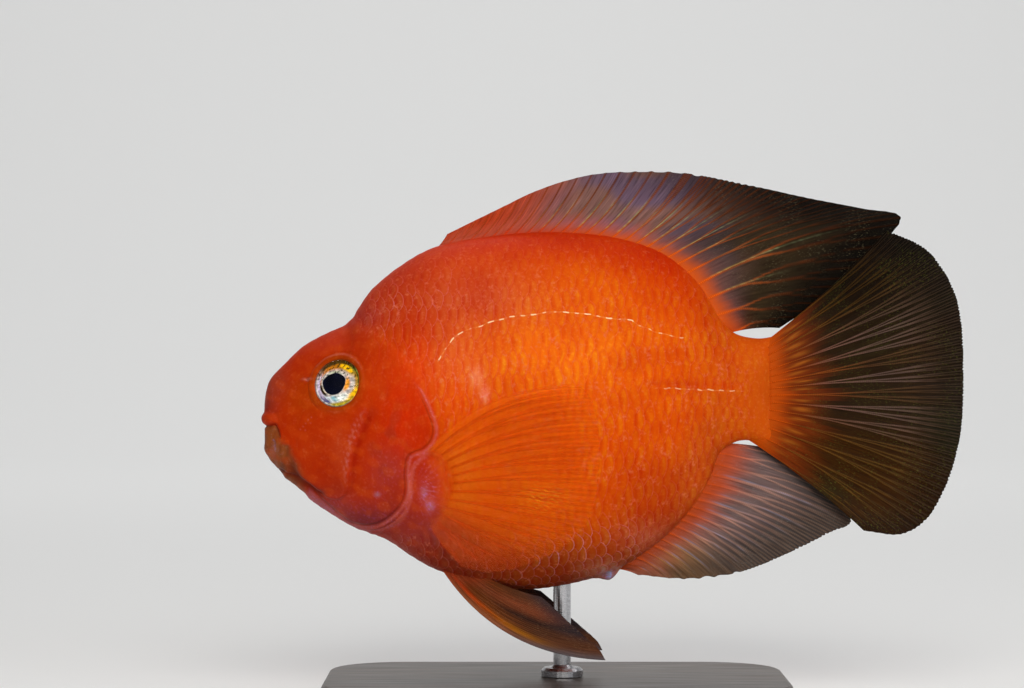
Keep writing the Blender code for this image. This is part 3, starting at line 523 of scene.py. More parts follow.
    def mouth_relief(self):
        x, z = self.x, self.z
        from_roll = np.hypot((x - LIP_ROLL_AT[0]) / LIP_ROLL_SIZE[0], (z - LIP_ROLL_AT[1]) / LIP_ROLL_SIZE[1])
        out = 0.85 * fall(from_roll, 1.05, 0.8)
        out -= 0.1 * hump(from_roll - 1.05, 0.2) * rise(x, 2.0, 1.5)
        out += self.mouth.groove(0.55, 0.45, 0.01, 0.1)
        out += self.upper_jaw.ledge(0.26, 2.2, 0.15, 0.7, edge=0.5, ends=(0.12, 0.5))
        out += 0.3 * blob(x, z, (6.6, -11.6), 1.2, 1.0)
        out += self.jaw_crease.groove(0.35, 0.35, 0.2, 0.3) + self.chin_fold.groove(0.35, 0.35, 0.2, 0.3)
        out += self.chin.groove(0.6, 0.9, 0.25, 0.2)
        out += 0.65 * blob(x, z, (1.4, -14.2), 2.2, 1.7) + 0.3 * blob(x, z, (5.6, -16.8), 1.5, 2.0)
        out += 0.55 * blob(x, z, (7.2, -22.0), 2.6, 2.4) - 0.4 * blob(x, z, (12.2, -26.4), 1.4, 1.4)
        soft = fall(x, 11, 4) * fall(z, -9, 3)
        return out + 0.1 * soft * waves(x * 1.6 + z * 0.5, z * 0.35, 3.4, 5)

    def pad_fan(self, count, wave):
        """A wave across the lines that run out over the pad to the pectoral fin's rays."""
        return wave(np.arctan2(self.z - PAD_FAN_FROM[1], self.x - PAD_FAN_FROM[0]) * count)

    def eye_relief(self):
        r = self.from_eye
        socket = -3.4 * fall(r, EYE_SEEN + 0.3, 1.2)
        lid = 0.35 * hump(r - EYE_SEEN - 1.0, 0.8)
        arcs = rise(self.z - EYE_AT[1], 2.0, 3.0) + fall(self.x, EYE_AT[0] - 4.0, 3.0)
        ring = 0.09 * hump(r - EYE_SEEN - 1.7, 0.3) - 0.1 * hump(r - EYE_SEEN - 2.2, 0.4)
        orbit = 0.5 * hump(r - EYE_SEEN, 5.0)
        return socket + lid + ring * np.minimum(arcs, 1.0) + orbit

    def markings_light_and_shade(self):
        x, z = self.x, self.z
        head = 1 - rise(x, 40, 22)
        above = rise(z - EYE_AT[1], 2.0, 4.0) + 0.4 * smooth_step(waves(x, z, 9.0, 14))
        ring = hump(self.from_eye - EYE_SEEN - 1.5, 0.25) * above
        bands = 0.5 + 0.5 * np.cos(self.v * math.pi)
        bands *= rise(x, 88, 20) * fall(x, 138, 8) * hump(z - 4, 26)
        # Darker towards the back, the belly and the head: in part painted shade, where the body turns away
        # from the light
        colour = layered(
            FLANK,
            (BACK, fall(self.from_back, 26, 20) * 0.9),
            (BELLY, fall(self.from_belly, 34, 26) * 0.9),
            (PEDUNCLE, rise(x, 116, 20)),
            (HEAD, np.maximum(head * 0.5, 1 - self.behind_nape)),
        )
        for at, width, height, patch, strength in PATCHES:
            colour = layered(colour, (patch, blob(x, z, at, width, height) * strength))
        colour = layered(
            colour,
            ((0.36, 0.044, 0.001), hump(self.from_eye - EYE_SEEN - 0.3, 1.7) * 0.8),
            ((0.56, 0.13, 0.06), ring * 0.35),
            ((0.62, 0.26, 0.16), blob(x, z, (12.9, 5.9), 1.3, 0.35) * 0.5),
            ((0.62, 0.05, 0.001), bands * 0.4),
            ((0.6, 0.044, 0.001), hump(self.rear.signed - 1.3, 0.9) * self.rear.fade() * 0.5),
        )
        return self.mark_lines_light_and_shade(self.mark_jaw_and_shade(colour))

    def mark_lines_light_and_shade(self, colour):
        x, z, cheek, gill, fold = self.x, self.z, self.cheek, self.gill, self.fold
        upright = rise(cheek.share, 0.38, 0.2) * cheek.fade()
        speckle = 0.2 + 0.8 * smooth_step(waves(x, z, 1.6, 15) * 1.6 + 0.3)
        marble = smooth_step(0.1 + waves(x, z, 6.0, 81)) * blob(x, z, (36, -13), 6, 12)
        light = smooth_step(waves(x * 0.6 + z, z - x, 6.0, 82)) * (1 - self.behind_nape)
        strip = rise(-gill.signed, 0.3, 0.7) * fall(gill.share, 0.34, 0.08)
        strip *= gill.close * rise(gill.share, 0.005, 0.03)
        fine = smooth_step(self.pad_fan(30.0, np.sin) * 2.0 - 0.8) * blob(x, z, (47.6, -25.5), 2.4, 6.0)
        return layered(
            colour,
            # Along the cheek's rear edge: pale pink scales in front of it, partly a painted highlight where
            # the edge catches the light, then painted shade just behind it
            ((0.58, 0.12, 0.07), hump(cheek.signed - 1.0, 1.1) * upright * speckle * 0.45),
            ((0.36, 0.008, 0.001), hump(cheek.signed + 1.1, 1.2) * upright * 0.7),
            ((0.29, 0.03, 0.012), marble * 0.45),
            ((0.6, 0.062, 0.004), light * 0.3),
            # Painted shade in the crease under the chin
            (CREASE_SHADE, hump(self.chin.distance, 1.3) * self.chin.fade(0.3, 0.2) * 0.75),
            (PINK, self.outside_gill() * gill.fade(0.3, 0.1) * 0.6),
            (PINK, hump(fold.distance - 0.2, 0.5) * fold.fade() * 0.5),
            # Painted shade along the gill cover's edge
            (CREASE_SHADE, hump(gill.distance, 0.25) * gill.fade(0.05, 0.15) * 0.45),
            ((0.42, 0.085, 0.085), strip * 0.8),
            ((0.58, 0.2, 0.26), fine * speckle * 0.4),
        )

    def mark_jaw_and_shade(self, colour):
        x, z, fold = self.x, self.z, self.chin_fold
        softness = 0.5 + 4.5 * smooth_step(self.jaw_edge.share * 1.3 - 0.3)
        jaw = smooth_step(0.6 - self.jaw_edge.signed / softness) * fall(x, 13, 2.0) * fall(z, -7.2, 0.3)
        tan = smooth_step(waves(x * 1.5, z * 0.5, 3.6, 16) + 0.4)
        lip = hump(np.hypot(x - LIP_ROLL_AT[0] - 0.1, z - LIP_ROLL_AT[1]), 2.0) * (z > -7.0)
        return layered(
            colour,
            (JAW, jaw * 0.95),
            ((0.5, 0.062, 0.006), blob(x, z, (5.7, -11.7), 1.5, 1.0) * 0.8),
            ((0.34, 0.09, 0.022), tan * jaw * 0.45),
            ((0.27, 0.13, 0.095), blob(x, z, (3.6, -14.4), 1.0, 1.4) * jaw * 0.5),
            ((0.15, 0.044, 0.02), blob(x, z, (6.5, -20.0), 2.4, 2.6) * jaw * 0.7),
            ((0.26, 0.11, 0.1), hump(self.jaw_crease.distance, 0.3) * jaw * 0.6),
            # Painted shade in the chin fold
            (CREASE_SHADE, hump(fold.distance, 0.35) * fold.fade(0.2, 0.2) * 0.7),
            *(((0.6, 0.18, 0.12), blob(x, z, at, 0.22) * 0.25) for at in SNOUT_PORES),
            ((0.46, 0.036, 0.004), lip * 0.8),
            # Painted shade in the mouth's slit
            (CREASE_SHADE, hump(self.mouth.distance, 0.25) * self.mouth.fade(0.01, 0.2) * 0.6),
        )

    def pores(self):
        """For each place: pores counted along the lateral line, millimetres off it, and its strength."""
        behind = self.rear.distance < self.front.distance
        along = np.where(behind, self.rear.share * self.rear.length, self.front.share * self.front.length)
        off = np.where(behind, self.rear.signed, self.front.signed)
        strength = np.where(behind, 0.6 * self.rear.fade(0.5, 0.1), self.front.fade(0.01, 0.05))
        return np.stack([along / PORE_STEP, np.clip(off, -PORE_REACH, PORE_REACH), strength], axis=-1)


def add_values(mesh, name, values, kind="FLOAT"):
    """Stores a value, vector or colour for each point of a mesh."""
    layer = mesh.attributes.new(name, kind, "POINT")
    flat = np.asarray(values, np.float32)
    if kind == "FLOAT_COLOR":
        flat = np.concatenate([flat, np.ones(flat.shape[:-1] + (1,), np.float32)], axis=-1)
    field = {"FLOAT": "value", "FLOAT_VECTOR": "vector", "FLOAT_COLOR": "color"}[kind]
    layer.data.foreach_set(field, flat.ravel())


def new_piece(name, points, faces, material, replaced=()):
    mesh = bpy.data.meshes.new(name)
    mesh.from_pydata(points.tolist(), [], faces)
    mesh.shade_smooth()
    mesh.materials.append(material)
    piece = bpy.data.objects.new(name, mesh)
    bpy.context.scene.collection.objects.link(piece)
    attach(piece, "root")
    if replaced:
        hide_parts(*replaced)
    return piece


def both_halves(half, mirrored=False):
    """Adds the other side of a ring array, with y turned over where it holds places."""
    other = half[:, -2:0:-1].copy()
    if mirrored:
        other[..., 1] *= -1
    return np.concatenate([half, other], axis=1)


def make_skin(material):
    skin = Skin()
    rings = both_halves(skin.points, mirrored=True)
    tip = rings[0].mean(axis=0)
    end = rings[-1].mean(axis=0)
    points = in_place(np.vstack([rings.reshape(-1, 3), tip, end]))
    index = np.arange(rings.shape[0] * rings.shape[1]).reshape(rings.shape[:2])
    after = np.roll(index, -1, axis=1)
    quads = np.stack([index[:-1], after[:-1], after[1:], index[1:]], axis=-1).reshape(-1, 4)
    faces = quads.tolist()
    first, last = index.size, index.size + 1
    faces += [(first, b, a) for a, b in zip(index[0].tolist(), after[0].tolist())]
    faces += [(last, a, b) for a, b in zip(index[-1].tolist(), after[-1].tolist())]
    flesh = ["head", "lower_jaw", "gill_cover_left", "gill_cover_right", "trunk", "tail_root"]
    piece = new_piece("skin", points, faces, material, flesh)
    for name, half, kind in (
        ("scaly", skin.scaly, "FLOAT"),
        ("rimmed", skin.rimmed, "FLOAT"),
        ("scale_at", np.stack([skin.u, skin.v, skin.bulge], axis=-1), "FLOAT_VECTOR"),
        ("pore_at", skin.pores(), "FLOAT_VECTOR"),
        ("tint", skin.colour, "FLOAT_COLOR"),
    ):
        full = both_halves(half).reshape(index.size, -1)
        add_values(piece.data, name, np.vstack([full, full[:1], full[-1:]]), kind)


class Paint:
    """A Principled material. The calls that add a node give back the node's output."""

    def __init__(self, name, **settings):
        self.material = bpy.data.materials.new(name)
        self.material.use_nodes = True
        self.tree = self.material.node_tree
        self.shader = self.tree.nodes["Principled BSDF"]
        for socket, value in settings.items():
            self.set(socket.replace("_", " "), value)

    def set(self, socket, value):
        found = next(i for i in self.shader.inputs if i.name.lower() == socket.lower())
        self.feed(found, value)

    def feed(self, socket, value):
        if isinstance(value, bpy.types.NodeSocket):
            self.tree.links.new(value, socket)
        elif socket.type == "RGBA":
            socket.default_value = (*value, 1.0)
        else:
            socket.default_value = value

    def node(self, kind, inputs=(), output=0, **settings):
        made = self.tree.nodes.new(kind)
        for name, value in settings.items():
            setattr(made, name, value)
        for key, value in dict(inputs).items():
            self.feed(made.inputs[key], value)
        return made.outputs[output]

    def math(self, operation, a, b=0.0, clamp=False):
        return self.node("ShaderNodeMath", {0: a, 1: b}, operation=operation, use_clamp=clamp)

    def times(self, a, b):
        return self.math("MULTIPLY", a, b)

    def plus(self, a, b):
        return self.math("ADD", a, b)

    def minus(self, a, b):
        return self.math("SUBTRACT", a, b)

    def mix(self, share, a, b, way="MIX"):
        inputs = {0: share, 6: a, 7: b}
        return self.node("ShaderNodeMix", inputs, 2, data_type="RGBA", blend_type=way, clamp_factor=True)

    def scaled(self, share, colour, factors):
        """A colour with its red, green and blue multiplied by factors where share is 1."""
        return self.mix(share, colour, factors, "MULTIPLY")

    def value_of(self, name, output="Fac"):
        return self.node("ShaderNodeAttribute", output=output, attribute_name=name)

    def parts(self, vector):
        """The three numbers of a vector."""
        return self.node("ShaderNodeSeparateXYZ", {0: vector}).node.outputs

    def join(self, x, y=0.0, z=0.0):
        return self.node("ShaderNodeCombineXYZ", {0: x, 1: y, 2: z})

    def spread(self, value, low, high, to_low=0.0, to_high=1.0):
        return self.node(
            "ShaderNodeMapRange", {0: value, 1: low, 2: high, 3: to_low, 4: to_high}, clamp=True,
            interpolation_type="SMOOTHSTEP",
        )

    def noise(self, size, detail=3.0, stretch=(1.0, 1.0, 1.0)):
        """Noise whose grains are about size metres, stretched along the model's axes."""
        place = self.node("ShaderNodeTexCoord", output=3)
        place = self.node("ShaderNodeMapping", {0: place, 3: tuple(s / size for s in stretch)})
        return self.node("ShaderNodeTexNoise", {0: place, 2: 1.0, 3: detail})

    def bump(self, height, distance, strength=1.0, normal=None):
        inputs = {0: strength, 1: distance, "Height": height}
        if normal:
            inputs["Normal"] = normal
        return self.node("ShaderNodeBump", inputs)


def scale_nodes(paint):
    """The scales of scale_pattern again, as nodes.

    They give how far a place lies from the free edge of the scale on top, a number of that scale's own, how
    far the place lies beside the scale's middle, and the place across the rows.
    """
    u, v, bulge = paint.parts(paint.value_of("scale_at", "Vector"))
    found = []
    for step in (0.0, 1.0):
        row = paint.plus(paint.math("FLOOR", v), step)
        offset = paint.math("FRACT", paint.times(row, 0.5))
        beside = paint.math("ABSOLUTE", paint.minus(v, row))
        round_off = paint.math("SUBTRACT", 1.0, paint.math("POWER", beside, SCALE_ROUNDING), clamp=True)
        reach = paint.times(paint.math("POWER", round_off, 1 / SCALE_ROUNDING), bulge)
        start = paint.minus(paint.minus(u, reach), offset)
        centre = paint.plus(paint.math("CEIL", start), offset)
        edge = paint.minus(reach, paint.minus(u, centre))
        missed = paint.math("GREATER_THAN", edge, paint.times(reach, SCALE_ROOT))
        order = paint.plus(centre, paint.times(missed, PUT_LAST))
        found.append((order, edge, paint.plus(paint.times(row, 7.31), centre), beside))
    second = paint.math("GREATER_THAN", found[0][0], found[1][0])
    picked = []
    for a, b in zip(found[0][1:], found[1][1:]):
        picked.append(paint.plus(a, paint.times(second, paint.minus(b, a))))
    own = paint.node("ShaderNodeTexWhiteNoise", {1: picked[1]}, noise_dimensions="1D")
    return picked[0], own, picked[2], v


def pore_colour(paint, colour):
    """Pale dashes along the lateral line, joined by a thin golden line."""
    along, off, strength = paint.parts(paint.value_of("pore_at", "Vector"))
    ripple = paint.minus(paint.noise(0.004, 2.0), 0.5)
    off = paint.math("ABSOLUTE", paint.plus(off, paint.times(ripple, 1.5)))
    cell = paint.node("ShaderNodeTexWhiteNoise", {1: paint.math("FLOOR", along)}, noise_dimensions="1D")
    middle = paint.math("ABSOLUTE", paint.minus(paint.math("FRACT", along), 0.5))
    reach = paint.spread(cell, 0.0, 1.0, 0.06, 0.26)
    dash = paint.spread(paint.minus(middle, reach), 0.1, -0.04)
    dash = paint.times(dash, paint.spread(off, 0.25, 0.06))
    dash = paint.times(dash, paint.spread(cell, 0.0, 0.9, 0.35, 1.0))
    thread = paint.times(paint.spread(off, 0.24, 0.05), paint.spread(paint.noise(0.002), 0.4, 0.6, 0.1, 0.45))
    colour = paint.mix(paint.times(thread, strength), colour, (0.92, 0.34, 0.08))
    return paint.mix(paint.times(dash, strength), colour, (1.0, 0.7, 0.38))


def scale_colour(paint, colour, scaly, edge, own, beside, streak):
    """Upright light bars with darker gaps of painted shadow, one for each scale, and pale rims where the
    scales stand out.
    """
    rimmed = paint.value_of("rimmed")
    bar = paint.times(paint.spread(edge, 0.04, 0.3), paint.spread(edge, 0.8, 0.45))
    bar = paint.times(bar, paint.spread(beside, 0.62, 0.4))
    light = paint.times(bar, paint.spread(own, 0.0, 1.0, 0.35, 1.0))
    light = paint.times(light, paint.spread(streak, 0.35, 0.6, 0.3, 1.0))
    # Painted shadow: darker where each scale lies behind the free edge of the one in front, and between the
    # rows
    dark = paint.math("MAXIMUM", paint.spread(edge, 0.55, 0.95), paint.spread(beside, 0.4, 0.6, 0.0, 0.35))
    dark = paint.times(dark, paint.spread(streak, 0.62, 0.38, 0.15, 1.0))
    colour = paint.scaled(paint.times(light, scaly), colour, (1.06, 1.75, 2.2))
    colour = paint.scaled(paint.times(dark, scaly), colour, (0.93, 0.72, 0.8))
    colour = paint.scaled(paint.times(own, paint.times(scaly, 0.4)), colour, (0.95, 0.82, 0.8))
    rim = paint.times(paint.spread(edge, 0.16, 0.04), paint.spread(own, 0.0, 0.8, 0.25, 1.0))
    colour = paint.mix(paint.times(rim, paint.times(scaly, 0.12)), colour, (0.9, 0.24, 0.1))
    return paint.mix(paint.times(rim, paint.times(rimmed, 0.4)), colour, (0.62, 0.27, 0.24))


def skin_material():
    paint = Paint("skin", specular_ior_level=0.07, subsurface_weight=0.08, subsurface_scale=0.002)
    paint.set("subsurface radius", (1.0, 0.22, 0.06))
    paint.set("specular tint", (1.0, 0.55, 0.32))
    scaly = paint.value_of("scaly")
    edge, own, beside, row = scale_nodes(paint)
    at = paint.join(
        paint.plus(paint.times(edge, 2.2), paint.times(own, 53.0)),
        paint.times(row, 0.9),
        paint.times(own, 31.0),
    )
    streak = paint.node("ShaderNodeTexNoise", {0: at, 2: 1.0, 3: 2.0})
    patch = paint.noise(0.01, 3.0)
    freckle = paint.noise(0.0022, 3.0)
    grain = paint.noise(0.0008, 2.0)
    colour = scale_colour(paint, paint.value_of("tint", "Color"), scaly, edge, own, beside, streak)
    colour = paint.scaled(paint.spread(patch, 0.45, 0.75, 0.0, 0.8), colour, (0.9, 0.7, 0.7))
    colour = paint.scaled(paint.spread(patch, 0.5, 0.25, 0.0, 0.8), colour, (1.05, 1.3, 1.5))
    colour = paint.scaled(paint.spread(grain, 0.5, 0.7, 0.0, 0.8), colour, (1.05, 1.42, 2.6))
    pale = paint.times(paint.spread(freckle, 0.52, 0.7), paint.spread(grain, 0.38, 0.62))
    pale = paint.times(pale, paint.spread(scaly, 0.0, 1.0, 0.08, 0.42))
    colour = paint.mix(pale, colour, (0.74, 0.17, 0.075))
    paint.set("base color", pore_colour(paint, colour))
    height = paint.times(paint.minus(1.0, edge), scaly)
    height = paint.plus(height, paint.times(paint.times(streak, scaly), 0.8))
    normal = paint.bump(height, 0.00007, 0.8)
    paint.set("normal", paint.bump(grain, 0.00005, 0.5, normal))
    paint.set("roughness", paint.spread(freckle, 0.25, 0.75, 0.44, 0.6))
    return paint.material


class Fan:
    """The middle surface of a fin, read by the share across it and the share out along its rays."""

    def __init__(self, rays, bow, sunk=ROOT_SUNK, root_shift=(0.0, 0.0)):
        self.lines = [Line([(100 * share, *places[end]) for share, *places in rays]).points for end in (0, 1)]
        self.bow = bow
        self.sunk = sunk
        self.root_shift = root_shift

    def ends(self, across):
        found = []
        for line in self.lines:
            found.append(np.stack([np.interp(across * 100, line[:, 0], line[:, i]) for i in (1, 2)], axis=-1))
        root, tip = found
        along = (tip - root) / np.linalg.norm(tip - root, axis=-1)[..., None]
        return root - along * self.sunk + self.root_shift, tip

    def flat(self, across, out):
        root, tip = self.ends(across)
        chord = tip - root
        aside = np.stack([-chord[..., 1], chord[..., 0]], axis=-1)
        bend = self.bow(across) * 4 * out * (1 - out)
        return root + chord * out[..., None] + aside * bend[..., None]


class Fin:
    """A fin's surface as arrays [across, out]: its middle, how near its rays lie and how far out a place is.

    place gives points from shares across and out. forks lists where along its length each ray parts in two,
    and soft tells how much it does so at each share across. notch is how far the web draws back between the
    rays, and seed sets how uneven the rays are.
    """

    def __init__(self, place, rays, columns, rows, forks, ray_width, notch, seed=11, soft=None, opening=0.3):
        count = columns * (rays - 1) + 1
        t, out = np.meshgrid(np.linspace(0, 1, count), np.linspace(0, 1, rows + 1), indexing="ij")
        self.beat = t * (rays - 1)
        from_ray = self.beat - np.round(self.beat)
        steps = np.linalg.norm(np.gradient(place(t, out), axis=0), axis=-1)
        self.gap = np.maximum(steps * columns, 0.3)
        parting = soft(t) if soft else np.ones(t.shape)
        self.ray = self.branches(from_ray, out, self.gap, parting, forks, ray_width, opening)
        tip_ray = self.branches(from_ray, out, self.gap, parting, forks, ray_width * 2.0, opening)[:, -1:]
        uneven = 1 + 0.6 * waves(t * 80, t * 0, 4.0, seed)
        depth = notch(t) if callable(notch) else notch
        self.out = out * (1 - depth * (1 - tip_ray) * uneven[:, -1:] * out**5)
        self.t = t
        self.middle = place(t, self.out)
        self.length = np.linalg.norm(self.middle[:, -1:] - self.middle[:, :1], axis=-1)
        self.reach = self.length * self.out
        across = np.cumsum(steps, axis=0) - steps[:1]
        self.from_edge = np.minimum(across, across[-1:] - across)
        self.own = waves(np.round(self.beat) * 3.7, 0 * t, 2.9, seed + 1)
        self.beside = from_ray * self.gap
        self.rays = smooth_step(self.ray * 1.6 - 0.3)

    @staticmethod
    def branches(from_ray, out, gap, parting, forks, width, opening):
        """How near each place lies to its ray or to one of the ray's branches, 1 on it and 0 between."""
        places = [np.zeros_like(out)]
        spread = 0.25
        for fork in forks:
            parted = spread * rise(out, fork, opening) * parting
            places = [at + way * parted for at in places for way in (-1, 1)]
            spread /= 2
        total = np.zeros(from_ray.shape)
        for at in places:
            total = np.maximum(total, hump((from_ray - at) * gap, width))
        return total

    def past(self, start, length):
        """A smooth rise along the rays, from start to start + length millimetres, uneven from ray to ray."""
        return smooth_step((self.reach * (1 + 0.16 * self.own) + 2.5 * (1 - self.ray) - start) / length)


def fin_piece(name, fin, half, colour, cover, material, replaced):
    """A closed fin round its middle surface, with its rays raised on both sides."""
    middle = fin.middle
    normal = np.cross(np.gradient(middle, axis=0), np.gradient(middle, axis=1))
    normal /= np.maximum(np.linalg.norm(normal, axis=-1), 1e-12)[..., None]
    if normal[..., 1].mean() < 0:
        normal = -normal
    sides = [middle + normal * half[..., None], middle - normal * half[..., None]]
    index = np.arange(half.size).reshape(half.shape)
    a, b, c, d = index[:-1, :-1], index[1:, :-1], index[1:, 1:], index[:-1, 1:]
    one = np.stack([a, b, c, d], axis=-1).reshape(-1, 4)
    rim = np.concatenate([index[:, 0], index[-1, 1:], index[-2::-1, -1], index[0, -2:0:-1]])
    rim_after = np.roll(rim, -1)
    band = np.stack([rim_after, rim, rim + half.size, rim_after + half.size], axis=-1)
    faces = np.vstack([one, one[:, ::-1] + half.size, band]).tolist()
    points = in_place(np.vstack([side.reshape(-1, 3) for side in sides]))
    turn = np.cross(middle[1, 0] - middle[0, 0], middle[0, 1] - middle[0, 0]) @ normal[0, 0]
    if turn < 0:
        faces = [face[::-1] for face in faces]
    piece = new_piece(name, points, faces, material, [replaced])
    for key, values, kind in (
        ("fin_at", np.stack([fin.beat, fin.reach, fin.ray], axis=-1), "FLOAT_VECTOR"),
        ("tint", colour, "FLOAT_COLOR"),
        ("cover", cover, "FLOAT"),
    ):
        flat = values.reshape(half.size, -1)
        add_values(piece.data, key, np.concatenate([flat, flat]), kind)


def fin_half(fin, fleshy, fleshy_for, ray=0.45, ray_tip=0.14, web=0.2, web_tip=0.09, taper=5.0):
    """Half thicknesses: a fleshy root that thins over fleshy_for millimetres, thin rays and a thinner web."""
    skin = web + (web_tip - web) * fin.out
    rays = np.maximum(ray + (ray_tip - ray) * fin.out, skin)
    flesh = fleshy * (1 - rise(fin.reach, 1.0, fleshy_for)) * np.sqrt(rise(fin.from_edge, 0, taper))
    return skin + (rays - skin) * fin.ray + flesh


def median_place(fan, lateral, ripple=0.0, rays=20, seed=3):
    """Points of a fin on the fish's middle plane, with a slight ripple of the web between its rays."""

    def place(across, out):
        flat = fan.flat(across, out)
        between = np.sin(across * (rays - 1) * math.pi) ** 2
        wrinkle = ripple * between * out * waves(across * 60, out * 12, 5.0, seed)
        return np.stack([flat[..., 0], lateral(across, out) + wrinkle, flat[..., 1]], axis=-1)

    return place


def rear_sway(start, length):
    """A slight wave along a fin, and a lean to the fish's right from a share across the fin on."""

    def sway(across, out):
        wave = FIN_WAVE * np.sin(across * 9.0) * out**2
        return wave + REAR_SWAY * rise(across, start, length) * out**1.5

    return sway


def fin_material(name, streaks=4.0, glint=(0.26, 0.22, 0.12), glints=0.2, beads=0.6, strength=0.6):
    """Fin skin with fine streaks along its rays, beads where the rays are jointed, and small glints."""
    paint = Paint(name, specular_ior_level=0.03)
    beat, reach, ray = paint.parts(paint.value_of("fin_at", "Vector"))
    at = paint.join(paint.times(beat, streaks), paint.times(reach, 0.07))
    streak = paint.node("ShaderNodeTexNoise", {0: at, 2: 1.6, 3: 3.0})
    joint = paint.math("SINE", paint.times(reach, 2 * math.pi / JOINT_STEP))
    joint = paint.times(paint.spread(joint, -0.5, 0.5), paint.spread(ray, 0.4, 0.9))
    fine = paint.noise(0.0006, 2.0)
    patch = paint.noise(0.007, 2.0)
    speck = paint.join(paint.times(beat, 22.0), paint.times(reach, 0.9))
    speck = paint.node("ShaderNodeTexNoise", {0: speck, 2: 1.3, 3: 2.0})
    colour = paint.value_of("tint", "Color")
    strength = paint.spread(reach, 2.0, 11.0, 0.0, strength)
    dark = paint.times(paint.spread(streak, 0.52, 0.3), strength)
    light = paint.times(paint.spread(streak, 0.54, 0.74), strength)
    colour = paint.scaled(dark, colour, (0.42, 0.36, 0.34))
    colour = paint.scaled(light, colour, (1.8, 1.7, 1.6))
    colour = paint.scaled(paint.times(joint, beads), colour, (1.5, 1.5, 1.5))
    sparkle = paint.times(paint.spread(speck, 0.55, 0.72), paint.spread(patch, 0.38, 0.62))
    colour = paint.mix(paint.times(sparkle, glints), colour, glint)
    paint.set("base color", colour)
    height = paint.plus(paint.times(joint, 0.5), paint.times(streak, 1.2))
    height = paint.plus(height, paint.times(fine, 0.3))
    paint.set("normal", paint.bump(height, 0.0001, 0.8))
    paint.set("roughness", paint.spread(streak, 0.3, 0.7, 0.38, 0.55))
    paint.set("alpha", paint.value_of("cover"))
    return paint.material


def dorsal_fin(material):
    def notch(t):
        return 0.002 + 0.01 * rise(t, 0.35, 0.2) - 0.009 * rise(t, 0.68, 0.1)

    fan = Fan(DORSAL_RAYS, lambda across: -0.05 + 0.1 * rise(across, 0.6, 0.3))
    place = median_place(fan, rear_sway(0.7, 0.2), 0.35, 27)
    fin = Fin(place, 27, 18, 60, (0.22, 0.55), 0.38, notch, soft=lambda t: rise(t, 0.55, 0.15))
    t, out, rays = fin.t, fin.out, fin.rays
    rear, tip = rise(t, 0.58, 0.27), rise(out, 0.5, 0.5)
    blue = smooth_step(0.5 + waves(t * 60, out * 14, 9.0, 12)) * rise(t, 0.25, 0.2) * rise(out, 0, 0.4)
    web = layered(
        (0.2, 0.098, 0.082),
        ((0.44, 0.044, 0.01), fall(t, 0.42, 0.3)),
        ((0.13, 0.086, 0.145), blue * 0.8),
        ((0.028, 0.017, 0.007), rear * (0.4 + 0.6 * rise(out, 0, 0.4))),
        ((0.48, 0.08, 0.044), (1 - fin.past(5.0, 9.0)) * (1 - 0.8 * rear) * 0.8),
        ((0.008, 0.005, 0.002), tip * rise(t, 0.35, 0.4) * 0.9),
    )
    ray = layered(
        (0.24, 0.052, 0.01),
        ((0.1, 0.02, 0.003), rise(out, 0.4, 0.5)),
        ((0.36, 0.04, 0.004), fall(t, 0.4, 0.3) * 0.8),
        ((0.05, 0.013, 0.003), rear * rise(out, 0.25, 0.4) * 0.9),
    )
    # Painted highlight: a gold sheen along the front of each ray, turning green further out
    gold = hump(fin.beside + 0.3, 0.18) * rise(fin.reach, 4.0, 1.5) * fall(out, 0.8, 0.45)
    gold *= rise(t, 0.2, 0.15) * smooth_step(1.1 + fin.own) * fall(t, 0.97, 0.1)
    gold *= 0.35 + 0.65 * smooth_step(0.5 + waves(fin.reach, t * 90, 2.4, 33))
    shine = layered((0.6, 0.4, 0.1), ((0.26, 0.32, 0.16), rise(out, 0.1, 0.4)))
    orange = layered((0.5, 0.034, 0.006), ((0.62, 0.08, 0.003), rise(t, 0.3, 0.4)))
    colour = layered(
        web,
        (ray, 0.8 * rays),
        (shine, gold * 0.8),
        (BLACK, 0.6 * rear * rise(out, 0.4, 0.45)),
        (orange, (1 - fin.past(3.5, 3.5 + 3 * t)) * 0.95),
    )
    cover = 1.0 - 0.05 * (1 - rays) * tip
    fin_piece("dorsal_web", fin, fin_half(fin, 2.8, 7.0), colour, cover, material, "dorsal_fin")


def anal_fin(material):
    fan = Fan(ANAL_RAYS, lambda across: 0.07 - 0.04 * across)
    place = median_place(fan, rear_sway(0.35, 0.4), 0.3, 18, 4)
    fin = Fin(place, 18, 18, 60, (0.3, 0.62), 0.42, 0.02, seed=23, soft=lambda t: rise(t, 0.3, 0.15))
    t, out, rays = fin.t, fin.out, fin.rays
    front = fall(t, 0.5, 0.3)
    web = layered(
        (0.15, 0.098, 0.092),
        ((0.3, 0.14, 0.042), front * 0.85),
        ((0.034, 0.031, 0.028), rise(out, 0.4, 0.45) * 0.9 * (1 - 0.4 * front)),
        ((0.36, 0.08, 0.045), 1 - fin.past(5.5, 12.0)),
    )
    ray = layered((0.36, 0.19, 0.14), ((0.34, 0.2, 0.07), front))
    ray = layered(ray, ((0.08, 0.052, 0.036), rise(out, 0.4, 0.5) * 0.9))
    edge = hump(fin.beside - 0.6, 0.22) * rise(fin.own, -0.8, 0.6)
    edge *= rise(fin.reach, 5, 3) * fall(out, 0.95, 0.4)
    edge *= 0.3 + 0.7 * smooth_step(0.5 + waves(fin.reach * 0.7, t * 70, 4.0, 71))
    root = 1 - fin.past(3.5, 6.0 + 5.0 * t)
    colour = layered(web, (ray, 0.6 * rays), ((0.22, 0.24, 0.34), edge * 0.6), ((0.48, 0.06, 0.008), root))
    cover = 1.0 - 0.05 * (1 - rays) * rise(out, 0.3, 0.5)
    fin_piece("anal_web", fin, fin_half(fin, 2.6, 7.0), colour, cover, material, "anal_fin")


